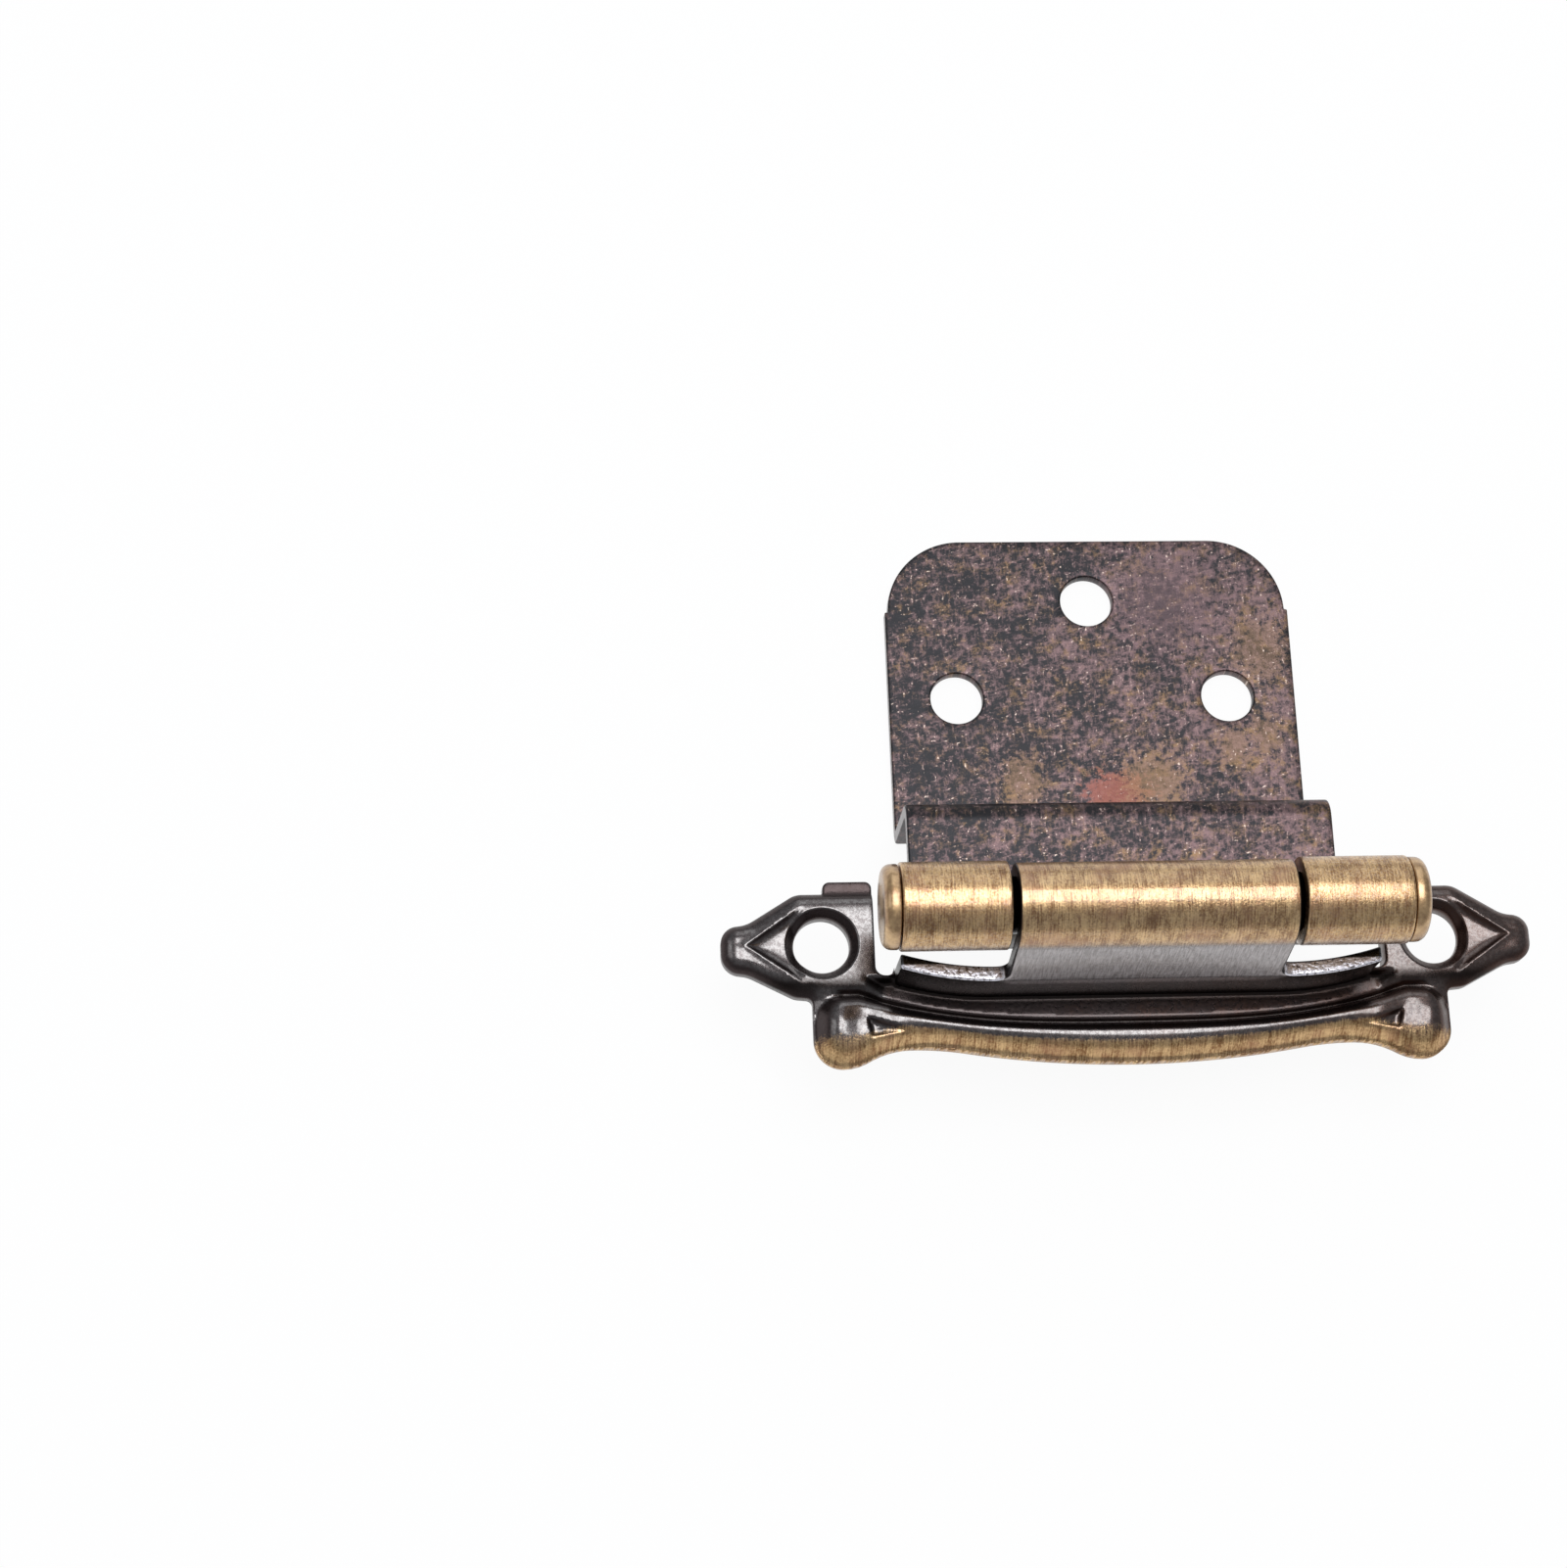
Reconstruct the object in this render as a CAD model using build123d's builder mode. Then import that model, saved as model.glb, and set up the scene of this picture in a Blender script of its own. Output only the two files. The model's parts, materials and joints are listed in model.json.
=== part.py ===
"""Self-closing hinge for an inset door with a rabbeted lip.

The frame leaf is screwed to the face of the cabinet's frame and carries the centre knuckle.
The door leaf is screwed behind the door's lip and carries the two outer knuckles.
A spring strip presses a moulded follower on the centre knuckle, whose outline rises like a cam
as the door opens, so that the door closes by itself.

Millimetres. +X runs along the barrel, +Y towards the door, +Z out of the cabinet's face.
The origin is midway between the frame leaf's two screw holes, on the leaf's back.
"""
import math
import os

from build123d import *

# Sheet, barrel and pin
sheet = 1.3
barrel_radius = 3.75
axis_height = 13.5
pin_clearance = 0.05
centre_knuckle_length = 23.4
knuckle_gap = 0.7
barrel_length = 43.0
head_radius = 3.6
head_thickness = 1.55
head_rounding = 0.8
head_gap = 0.1
tenon_radius = 1.5
tenon_length = 1.0

# Screw holes
screw_hole_radius = 2.45
frame_hole_spacing = 54.0
door_hole_spacing = 25.4
door_hole_distance = 25.95
third_hole_offset = 9.53

# Door leaf
door_leaf_width = 38.1
inset = 9.53
step_distance = 13.25
plate_end = 41.55
plate_corner = 7.0
corner_shear = 0.3
plate_bend = 0.3
step_bend = 0.7
leg_face = 0.55
leg_bend = 0.8
neck_bend = 0.85
seam_angle = 22.0

# Frame leaf, seen from the front
ear_inner = 4.55
ear_tip = 8.78
tip_drop = 0.25
ear_top = 4.9
ear_bottom = 4.35
ear_corner = 0.8
ear_slope_top = 31.3
ear_slope_bottom = 25.6
tip_rounding = 2.0
shoulder_rounding = 2.0
lug_length = 4.3
lug_reach = 5.75
lug_rounding = 0.6
lobe_side = 0.95
lobe_top = 4.55
lobe_radius = 2.55
lobe_corner = 2.55
mark_distance = 2.0
mark_length = 4.2
mark_half = 0.8
bar_bottom = 10.8
bar_bottom_bow = 14.8
bar_top = 7.0
bar_top_bow = 19.9
neck_x = 19.4
neck_bottom = 9.2
neck_bow = 3.75
notch_width = 1.65
notch_bottom = 2.9
wall_front = 4.9
wall_bow = 1.25

# Frame leaf, heights over the cabinet's face
bar_crest = 3.2
bar_rounding = 1.25
mark_depth = 0.4
ear_crest = 2.2
ear_bevel = 0.6
recess_floor = 1.5
recess_half = 2.0
recess_rim = 1.6
recess_rounding = 0.4
countersink_radius = 3.1
countersink_angle = 82.0
wall_top = 7.2
tab_foot_rounding = 0.85
groove_width = 1.6
groove_height = 1.5

# Cam, follower and spring
cam_lift = 0.45
cam_overlap = 30.0
cam_clearance = 0.05
follower_front = 3.5
follower_back = 1.5
follower_face_length = 21.3
follower_side_gap = 0.15
follower_foot = 2.2
follower_edge = 0.7
spring_thickness = 0.45
spring_width = 1.6
spring_length = 37.0
spring_seat = 0.3
spring_side_gap = 0.1

# Sizes that follow from the ones above
barrel_top = axis_height + barrel_radius
bore_radius = barrel_radius - sheet
pin_radius = bore_radius - pin_clearance
centre_end = centre_knuckle_length / 2
outer_start = centre_end + knuckle_gap
outer_end = barrel_length / 2
leaf_half = door_leaf_width / 2
hole_x = frame_hole_spacing / 2
ear_edge = hole_x - ear_inner
wall_end = ear_edge - notch_width
lobe_end = hole_x + lobe_side
lobe_x = lobe_end - lobe_radius

# Ear: the pointed tip is where its two slanted edges meet, rounded
half_point = math.radians((ear_slope_top + ear_slope_bottom) / 2)
tip_x = hole_x + ear_tip
point_x = tip_x + tip_rounding * (1 / math.sin(half_point) - 1)
shoulder_x = point_x - (ear_top + tip_drop) / math.tan(math.radians(ear_slope_top))
throat_x = point_x - (ear_bottom - tip_drop) / math.tan(math.radians(ear_slope_bottom))
recess_start = hole_x + countersink_radius + recess_rounding
recess_tip = tip_x - recess_rim

# Bar: how far each line has bowed at a place along the bar
shoulder_end = lobe_end - lobe_corner
neck_top = bar_top - (bar_top - lobe_top) * (neck_x / ear_edge) ** 2
bar_middle = (bar_bottom + bar_top) / 2
neck_middle = (neck_bottom + neck_top) / 2
lobe_middle = (bar_bottom + lobe_top) / 2
mark_x = lobe_x - mark_distance

# Wall, straight behind the tab and bowed back at its ends, and the tab's lean against the barrel
wall_straight = centre_end + tab_foot_rounding
wall_middle = wall_front - sheet / 2
wall_end_front = wall_front - wall_bow
wall_end_middle = wall_middle - wall_bow
tab_rise = axis_height - wall_top
tab_reach = math.hypot(wall_front, tab_rise)
tab_slope = math.degrees(math.atan2(tab_rise, wall_front) + math.asin(barrel_radius / tab_reach))
tab_end = tab_slope - 180

# Legs of the door leaf: the reverse bend meets the barrel where both curves touch
flat_start = leg_face + leg_bend
leg_back = leg_face - sheet
neck_centre = neck_bend - leg_back
neck_drop = math.sqrt((barrel_radius + neck_bend) ** 2 - neck_centre**2)
neck_turn = math.degrees(math.atan2(neck_drop, neck_centre))
curl_start = 180 + neck_turn
curl_turn = -(curl_start + 90 - seam_angle)

# Heads, cam, follower and spring
head_start = outer_end + head_gap
head_end = head_start + head_thickness
tenon_end = head_start + tenon_length
rim_bevel = head_rounding * (1 - math.sqrt(0.5))
cam_low = barrel_radius - cam_lift
follower_top = axis_height - cam_low - cam_clearance
follower_half = outer_start - follower_side_gap
follower_face_half = follower_face_length / 2
follower_slant = follower_half - follower_face_half
spring_start = flat_start + spring_side_gap
spring_crown = follower_foot + spring_seat
pin_axis = Axis((0, 0, axis_height), (1, 0, 0))


def around_pin(radius, angle):
    """A point about the pin in a cross-section, by its angle from straight behind towards the door."""
    turn = math.radians(angle)
    return (radius * math.sin(turn), axis_height - radius * math.cos(turn))


def head_rim(side):
    """The corners of a head's half section, from the barrel's end outwards, with the rim in two bevels."""
    return [
        (side * head_start, axis_height + head_radius),
        (side * (head_end - head_rounding), axis_height + head_radius),
        (side * (head_end - rim_bevel), axis_height + head_radius - rim_bevel),
        (side * head_end, axis_height + head_radius - head_rounding),
        (side * head_end, axis_height),
    ]


# Frame leaf: the raised pad of one ear, with the hollow behind its pointed tip
with BuildPart() as ear:
    with BuildSketch(Plane.XY):
        with BuildLine():
            FilletPolyline(
                (ear_edge, -ear_bottom),
                (ear_edge, ear_top),
                (shoulder_x, ear_top),
                (point_x, -tip_drop),
                (throat_x, -ear_bottom),
                radius=[ear_corner, ear_corner, shoulder_rounding, tip_rounding, shoulder_rounding],
                close=True,
            )
        make_face()
    extrude(amount=ear_crest)
    chamfer(ear.faces().sort_by(Axis.Z)[-1].edges(), ear_bevel)
    with BuildSketch(Plane.XY.offset(recess_floor)):
        with BuildLine():
            FilletPolyline(
                (recess_start, recess_half),
                (recess_tip, -tip_drop),
                (recess_start, -recess_half),
                radius=recess_rounding,
                close=True,
            )
        make_face()
    extrude(amount=ear_crest, mode=Mode.SUBTRACT)

# Frame leaf: the bowed bar with a lobe at each end, and a carved mark beside each lobe
with BuildPart() as bar:
    with BuildSketch(Plane.XY):
        with BuildLine():
            # Each stretch is two arcs, level at both ends: a bow that reaches so far, and a reverse bend
            for start, run, rise, reach in (
                ((0, -bar_top), shoulder_end, bar_top - lobe_top, bar_top_bow),
                ((0, -bar_bottom), neck_x, bar_bottom - neck_bottom, bar_bottom_bow),
                ((neck_x, -neck_bottom), lobe_x - neck_x, neck_bottom - bar_bottom, neck_bow),
            ):
                turn = 2 * math.atan2(rise, run)
                bow = JernArc(start, (1, 0), reach / math.sin(abs(turn)), math.degrees(turn))
                JernArc(bow @ 1, bow % 1, (run - reach) / math.sin(abs(turn)), -math.degrees(turn))
            shoulder = RadiusArc((shoulder_end, -lobe_top), (lobe_end, -lobe_top - lobe_corner), lobe_corner)
            lobe = RadiusArc((lobe_x, -bar_bottom), (lobe_end, lobe_radius - bar_bottom), -lobe_radius)
            Line(shoulder @ 1, lobe @ 1)
            mirror(about=Plane.YZ)
        make_face()
    extrude(amount=bar_crest)
    fillet(bar.faces().sort_by(Axis.Z)[-1].edges(), bar_rounding)
    with BuildSketch(Plane.XY.offset(bar_crest - mark_depth)):
        for side in (-1, 1):
            with BuildLine():
                Polyline(
                    (side * mark_x, mark_half - lobe_middle),
                    (side * mark_x, -mark_half - lobe_middle),
                    (side * (mark_x - mark_length), -neck_middle),
                    close=True,
                )
            make_face()
    extrude(amount=mark_depth, mode=Mode.SUBTRACT)

# Frame leaf: the upright wall with its bowed ends, and the tab that leans back to the barrel
with BuildPart() as upright:
    with BuildSketch(Plane.YZ):
        with BuildLine():
            Polyline((-wall_front, 0), (-wall_front, wall_top), around_pin(barrel_radius, tab_end))
            offset(amount=sheet, side=Side.RIGHT)
        make_face()
    extrude(amount=wall_straight, both=True)
    with BuildSketch(Plane.XY):
        with BuildLine():
            TangentArc((wall_straight, -wall_front), (wall_end, -wall_end_front), tangent=(1, 0))
            offset(amount=sheet, side=Side.LEFT)
        make_face()
        mirror(about=Plane.YZ)
    extrude(amount=wall_top)
    with BuildSketch(Plane.XZ) as upright_outline:
        with Locations((0, wall_top / 2)):
            Rectangle(2 * wall_end, wall_top)
        with Locations((0, barrel_top / 2)):
            Rectangle(centre_knuckle_length, barrel_top)
        foot_corners = upright_outline.vertices().group_by(Axis.Y)[1].sort_by(Axis.X)[1:3]
        fillet(foot_corners, tab_foot_rounding)
    extrude(amount=2 * wall_front, both=True, mode=Mode.INTERSECT)

# Frame leaf: the whole stamping
with BuildPart() as frame_leaf:
    add(bar.part)
    # Flat sheet between the bar, the ears and the wall, with a relief notch at each end of the wall
    with BuildSketch(Plane.XY):
        with BuildLine():
            Polyline(
                (0, -wall_middle),
                (wall_straight, -wall_middle),
                (wall_end, -wall_end_middle),
                (wall_end, -notch_bottom),
                (lobe_x, -notch_bottom),
                (lobe_x, -lobe_middle),
                (neck_x, -neck_middle),
                (0, -bar_middle),
            )
            mirror(about=Plane.YZ)
        make_face()
    extrude(amount=sheet)
    # Ears, each with a flat lug beside the barrel
    add(ear.part)
    add(mirror(ear.part, about=Plane.YZ, mode=Mode.PRIVATE))
    with BuildSketch(Plane.XY):
        for side in (-1, 1):
            with Locations((side * (ear_edge + lug_length / 2), lug_reach / 2)):
                RectangleRounded(lug_length, lug_reach, lug_rounding)
    extrude(amount=sheet)
    add(upright.part)
    # Centre knuckle: a scroll that grows from the cam's low side to the full barrel
    with BuildSketch(Plane.YZ):
        with BuildLine():
            cam_angles = [cam_overlap * step for step in range(-1, int(180 / cam_overlap) + 1)]
            cam = Spline([around_pin(cam_low + cam_lift * angle / 180, angle) for angle in cam_angles])
            CenterArc((0, axis_height), barrel_radius, 90, tab_slope)
            Line(around_pin(barrel_radius, tab_end), around_pin(bore_radius, tab_end))
            CenterArc((0, axis_height), bore_radius, 90 + tab_slope, -(180 + tab_slope + cam_overlap))
            Line(around_pin(bore_radius, -cam_overlap), cam @ 0)
        make_face()
    extrude(amount=centre_end, both=True)
    # Screw holes, sunk for the screw heads
    with Locations((-hole_x, 0, ear_crest), (hole_x, 0, ear_crest)):
        CounterSinkHole(screw_hole_radius, countersink_radius, counter_sink_angle=countersink_angle)
    # Hollow back of the bar
    with BuildSketch(Plane.XY):
        with BuildLine():
            ThreePointArc((-neck_x, -neck_middle), (0, -bar_middle), (neck_x, -neck_middle))
        trace(line_width=groove_width)
    extrude(amount=groove_height, mode=Mode.SUBTRACT)

# Door leaf: plate, step and second flat, with a leg and a knuckle at each end
with BuildPart() as door_leaf:
    with BuildSketch(Plane.YZ):
        with BuildLine():
            FilletPolyline(
                (plate_end, -inset),
                (step_distance - sheet, -inset),
                (step_distance - sheet, 0),
                (flat_start, 0),
                radius=[plate_bend + sheet, step_bend],
            )
            offset(amount=sheet, side=Side.RIGHT)
        make_face()
    extrude(amount=leaf_half, both=True)
    # Rounded outer corners, sheared a little inside the plate's sides
    with BuildSketch(Plane.XY.offset(-inset)):
        with Locations((0, plate_end - plate_corner / 2)):
            Rectangle(door_leaf_width, plate_corner)
        with Locations((0, plate_end - 1.5 * plate_corner)):
            RectangleRounded(
                door_leaf_width - 2 * corner_shear, 3 * plate_corner, plate_corner, mode=Mode.SUBTRACT
            )
    extrude(amount=sheet, mode=Mode.SUBTRACT)
    # Screw holes
    with Locations(
        (-door_hole_spacing / 2, door_hole_distance, sheet - inset),
        (door_hole_spacing / 2, door_hole_distance, sheet - inset),
        (0, door_hole_distance + third_hole_offset, sheet - inset),
    ):
        Hole(screw_hole_radius, depth=sheet)
    for side in (-1, 1):
        # Leg, with the reverse bend that brings the knuckle over it
        with BuildSketch(Plane.YZ.offset(side * (outer_start + leaf_half) / 2)):
            with BuildLine():
                bend = JernArc((flat_start, 0), (-1, 0), leg_bend + sheet, -90)
                rise = Line(bend @ 1, (leg_back, axis_height - neck_drop))
                JernArc(rise @ 1, (0, 1), neck_bend, neck_turn)
                offset(amount=sheet, side=Side.RIGHT)
            make_face()
        extrude(amount=(leaf_half - outer_start) / 2, both=True)
        # Knuckle, curled back almost to its leg
        with BuildSketch(Plane.YZ.offset(side * (outer_start + outer_end) / 2)):
            with BuildLine():
                outside = CenterArc((0, axis_height), barrel_radius, curl_start, curl_turn)
                inside = CenterArc((0, axis_height), bore_radius, curl_start, curl_turn)
                Line(outside @ 0, inside @ 0)
                Line(outside @ 1, inside @ 1)
            make_face()
        extrude(amount=(outer_end - outer_start) / 2, both=True)

# Hinge pin with its formed head, and a tenon for the cap
with BuildPart() as hinge_pin:
    with BuildSketch(Plane.XZ):
        with BuildLine():
            Polyline(
                *head_rim(-1),
                (tenon_end, axis_height),
                (tenon_end, axis_height + tenon_radius),
                (head_start, axis_height + tenon_radius),
                (head_start, axis_height + pin_radius),
                (-head_start, axis_height + pin_radius),
                close=True,
            )
        make_face()
    revolve(axis=pin_axis)

# Cap pressed on the pin's tenon
with BuildPart() as pin_cap:
    with BuildSketch(Plane.XZ):
        with BuildLine():
            Polyline(
                *head_rim(1),
                (tenon_end, axis_height),
                (tenon_end, axis_height + tenon_radius),
                (head_start, axis_height + tenon_radius),
                close=True,
            )
        make_face()
    revolve(axis=pin_axis)

# Follower: a block that slides between the legs, with slanted front corners and a seat for the spring
with BuildPart() as follower:
    with BuildSketch(Plane.XY.offset(follower_foot)):
        with BuildLine():
            Polyline(
                (-follower_half, -follower_back),
                (follower_half, -follower_back),
                (follower_half, follower_front - follower_slant),
                (follower_face_half, follower_front),
                (-follower_face_half, follower_front),
                (-follower_half, follower_front - follower_slant),
                close=True,
            )
        make_face()
    extrude(amount=follower_top - follower_foot)
    chamfer(follower.faces().sort_by(Axis.Z)[-1].edges().sort_by(Axis.Y)[-1], follower_edge)
    with BuildSketch(Plane.XY.offset(follower_foot)):
        with Locations((0, spring_start + spring_width / 2)):
            Rectangle(2 * follower_half, spring_width + 2 * spring_side_gap)
    extrude(amount=spring_seat, mode=Mode.SUBTRACT)

# Spring strip, bowed up from the second flat to the follower's seat
with BuildPart() as leaf_spring:
    with BuildSketch(Plane.XZ.offset(-spring_start)):
        with BuildLine():
            ThreePointArc(
                (-spring_length / 2, sheet + spring_thickness),
                (0, spring_crown),
                (spring_length / 2, sheet + spring_thickness),
            )
            offset(amount=spring_thickness, side=Side.RIGHT)
        make_face()
    extrude(amount=-spring_width)

os.makedirs("parts", exist_ok=True)
pieces = {
    "frame_leaf": frame_leaf,
    "door_leaf": door_leaf,
    "hinge_pin": hinge_pin,
    "pin_cap": pin_cap,
    "follower": follower,
    "leaf_spring": leaf_spring,
}
for name, piece in pieces.items():
    piece.part.label = name
    export_step(piece.part, f"parts/{name}.step")
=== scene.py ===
"""Looks of the self-closing hinge: two folded leaves in antique brass and bronze, on a white table.

Sizes are in millimetres, in the part's own frame: +X along the barrel, +Y towards the door, +Z out of
the cabinet's face. Meshes are written in metres.
"""
import json
import math

import bmesh
import bpy
import numpy as np
from mathutils import Matrix, Vector
from mathutils.geometry import delaunay_2d_cdt
from mathutils.kdtree import KDTree


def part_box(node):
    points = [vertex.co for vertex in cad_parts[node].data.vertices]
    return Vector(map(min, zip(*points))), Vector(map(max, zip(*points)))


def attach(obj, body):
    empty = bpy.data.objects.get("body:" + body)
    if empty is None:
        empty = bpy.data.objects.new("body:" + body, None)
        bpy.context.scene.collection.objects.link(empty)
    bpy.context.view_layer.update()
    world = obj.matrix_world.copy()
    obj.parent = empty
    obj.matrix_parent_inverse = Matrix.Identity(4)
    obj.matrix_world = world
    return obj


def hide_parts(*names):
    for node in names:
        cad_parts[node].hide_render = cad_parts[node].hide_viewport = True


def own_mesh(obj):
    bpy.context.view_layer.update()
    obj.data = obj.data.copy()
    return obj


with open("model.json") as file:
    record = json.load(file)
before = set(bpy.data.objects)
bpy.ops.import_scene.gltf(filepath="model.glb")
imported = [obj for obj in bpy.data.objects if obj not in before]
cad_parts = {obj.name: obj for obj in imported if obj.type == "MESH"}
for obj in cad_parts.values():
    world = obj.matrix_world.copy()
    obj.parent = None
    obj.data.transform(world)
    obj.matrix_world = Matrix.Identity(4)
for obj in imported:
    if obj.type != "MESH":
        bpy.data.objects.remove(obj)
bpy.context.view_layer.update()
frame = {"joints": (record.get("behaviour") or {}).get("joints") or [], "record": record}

MM = 0.001


def node_box(node):
    """A solid's lowest and highest corners in millimetres."""
    return [Vector(corner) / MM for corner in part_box(node)]


# Sizes read from the frame
mounts = {mount["name"]: mount for mount in frame["record"]["mounts"]}
joints = {joint["name"]: joint for joint in frame["joints"]}
frame_low, frame_high = node_box("frame_leaf")
door_low, door_high = node_box("door_leaf")
head_low, head_high = node_box("hinge_pin")
cap_low, cap_high = node_box("pin_cap")
block_low, block_high = node_box("follower")
strip_low, strip_high = node_box("leaf_spring")
axis_height = joints["door_swing"]["pos_m"][2] / MM
hole_radius = mounts["frame_screws"]["dims"]["hole_r_mm"]
ear_hole_x = mounts["frame_screws"]["dims"]["spacing_x_mm"] / 2
plate_hole_x = mounts["door_screws"]["dims"]["spacing_x_mm"] / 2
plate_hole_y = mounts["door_screws"]["pos_m"][1] / MM
third_hole_y = mounts["door_third_screw"]["pos_m"][1] / MM
barrel_radius = door_high.z - axis_height
barrel_end = door_high.x
plate_end = door_high.y
plate_back = door_low.z
tip_x = frame_high.x
lug_reach = frame_high.y
bar_bottom = -frame_low.y

# Sheet and barrel
sheet = 1.3
half_sheet = sheet / 2
curl_radius = barrel_radius - half_sheet
bore_radius = barrel_radius - sheet
centre_end = 11.77
outer_start = 12.36
head_gap = 0.1
tenon_radius = 1.5

# Door leaf
leaf_half = 19.05
plate_corner = 7.0
corner_shear = 0.3
step_face = 13.25
plate_bend = 0.3
step_bend = 0.7
leg_face = 0.55
leg_bend = 0.8
neck_bend = 0.85
seam_angle = 22.0

# Painted grey reflection on the outer knuckles' lower side: its share, and the angles from the barrel's
# top where it starts, is full, begins to fade and ends
reflection_share = 0.45
reflection_start, reflection_full, reflection_fade, reflection_end = 62, 92, 110, 150

# Frame leaf, seen from the front
ear_edge = 22.45
ear_top = 4.65
ear_bottom = 4.55
shoulder_x = 29.2
throat_x = 29.5
knob_x = 33.55
knob_top = 1.75
knob_bottom = 2.2
lug_end = 26.75
lug_rounding = 0.6
lobe_end = 27.95
lobe_top = 4.5
lobe_radius = 2.55
lobe_x = lobe_end - lobe_radius
bar_top = 7.25
groove_run = 24.0
bar_bottom_bow = 14.8
neck_x = 19.4
neck_bottom = 9.2
neck_bow = 3.75
wall_end = 20.8
wall_front = 4.9
wall_bow = 1.25
tab_margin = 0.85
tab_foot_corner = 1.2
notch_bottom = 2.9
throat_corner = (lobe_end, -ear_bottom - 0.15, 0.6)
lobe_corner = (lobe_end, -bar_bottom, lobe_radius - 0.01)
dish_top = (29.2, 3.05)
dish_tip = (33.7, -0.1)
dish_bottom = (29.4, -3.05)
dish_fade = (28.4, 29.8)
lobe_blend = (21.0, 24.5)
groove_fade = (26.7, 25.2)
mark_top = (23.5, -6.65)
mark_bottom = (23.15, -8.55)
mark_tip = (19.2, -8.05)
mark_deep_x = 23.0

# Frame leaf, heights and the widths over which they rise or fall
bar_crest = 3.2
bar_edge = 0.75
bar_low_width = 2.5
bar_groove_width = 1.35
bar_raise = 1.7
groove_depth = 0.34
groove_width = 0.26
crown_place = (25.9, -7.3)
crown_width = 1.6
crown_fall = 0.4
ear_crest = 2.2
ear_edge_width = 1.2
ear_crown_width = 2.8
ear_edge_share = 0.62
ear_crown_share = 0.38
saddle_bottom = 6.6
saddle_fall = 0.3
ear_rim = 0.8
valley_rise = 0.22
dish_depth = 0.75
dish_slope = 0.45
ridge_height = 0.1
ridge_width = 0.3
countersink_radius = 3.2
countersink_slope = 1.15
mark_depth = 0.55
wall_top = 7.2
wall_foot = 0.3
wall_foot_rounding = 0.3
tab_bend = 1.3
cam_lift = 0.45
cam_overlap = 30.0
upright_polish = 0.8

# How finely the sheets are divided
fine_step = 0.2
stamp_step = 0.2
bend_step = math.radians(5)
edge_rounding = 0.18
same_place = 0.01
well_inside = 9.0  # depth written for points that lie away from every edge
batch = 2000  # places measured at a time
near_middle = 0.001  # where a half outline starts, so that its mirror image doesn't double a point


# Flat outlines
def unit(vectors):
    return vectors / np.linalg.norm(vectors, axis=-1, keepdims=True)


def outline(corners, spacing=fine_step):
    """A closed line through corners (x, y, rounding), in even steps."""
    corners = [(np.array(corner[:2], float), corner[2]) for corner in corners]
    places = []
    for index, (corner, rounding) in enumerate(corners):
        if rounding == 0:
            places.append(corner)
            continue
        back = unit(corners[index - 1][0] - corner)
        ahead = unit(corners[(index + 1) % len(corners)][0] - corner)
        half_angle = math.acos(np.clip(back @ ahead, -1, 1)) / 2
        centre = corner + unit(back + ahead) * rounding / math.sin(half_angle)
        first, last = (corner + way * rounding / math.tan(half_angle) - centre for way in (back, ahead))
        start = math.atan2(first[1], first[0])
        turn = (math.atan2(last[1], last[0]) - start + math.pi) % (2 * math.pi) - math.pi
        steps = max(math.ceil(abs(turn) * rounding / spacing), math.ceil(abs(turn) / 0.26))
        angles = start + turn * np.arange(steps + 1) / steps
        places += list(centre + rounding * np.stack([np.cos(angles), np.sin(angles)], 1))
    line = []
    for place, following in zip(places, places[1:] + places[:1]):
        steps = math.ceil(np.linalg.norm(following - place) / spacing - same_place)
        line += [place + (following - place) * step / steps for step in range(steps)]
    return np.array(line)


def mirrored(corners):
    """Corners of the right half, from top to bottom, closed by their mirror image."""
    return corners + [(-x, y, rounding) for x, y, rounding in reversed(corners) if abs(x) > 1e-6]


def screw_hole(x, y, radius):
    """A hole's rim, with the sheet on its left side."""
    steps = math.ceil(2 * math.pi * radius / fine_step)
    angles = -2 * math.pi * np.arange(steps) / steps
    return np.stack([x + radius * np.cos(angles), y + radius * np.sin(angles)], 1)


def depth_inside(places, loop):
    """How far each place lies inside a closed line; negative outside."""
    ends = np.roll(loop, -1, 0)
    run = ends - loop
    length = (run**2).sum(1)
    depths = np.empty(len(places))
    for begin in range(0, len(places), batch):
        some = places[begin:begin + batch, None, :]
        share = np.clip(((some - loop) * run).sum(2) / length, 0, 1)
        near = np.sqrt(((loop + share[..., None] * run - some) ** 2).sum(2)).min(1)
        above = (loop[:, 1] > some[..., 1]) != (ends[:, 1] > some[..., 1])
        rise = np.where(run[:, 1] == 0, 1, run[:, 1])
        left = some[..., 0] < run[:, 0] * (some[..., 1] - loop[:, 1]) / rise + loop[:, 0]
        inside = (above & left).sum(1) % 2 == 1
        depths[begin:begin + batch] = np.where(inside, near, -near)
    return depths


def set_in(loop, depth):
    """The line that runs a depth inside a loop whose sheet is on its left."""
    before = unit(loop - np.roll(loop, 1, 0))
    after = unit(np.roll(loop, -1, 0) - loop)
    across_before = np.stack([-before[:, 1], before[:, 0]], 1)
    across_after = np.stack([-after[:, 1], after[:, 0]], 1)
    lean = 1 + (across_before * across_after).sum(1, keepdims=True)
    return loop + depth * (across_before + across_after) / np.maximum(lean, 0.3)


def point_tree(places):
    """A tree that finds the nearest of some places."""
    tree = KDTree(len(places))
    for number, place in enumerate(places):
        tree.insert((*place, 0), number)
    tree.balance()
    return tree


def clear_of(tree, places, distance):
    """Which places keep a distance from every point in a tree."""
    return [tree.find((*place, 0))[2] >= distance for place in places]


def both_faces(values):
    """Values for the front of a sheet and again for its back."""
    return np.concatenate([values, values])


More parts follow.
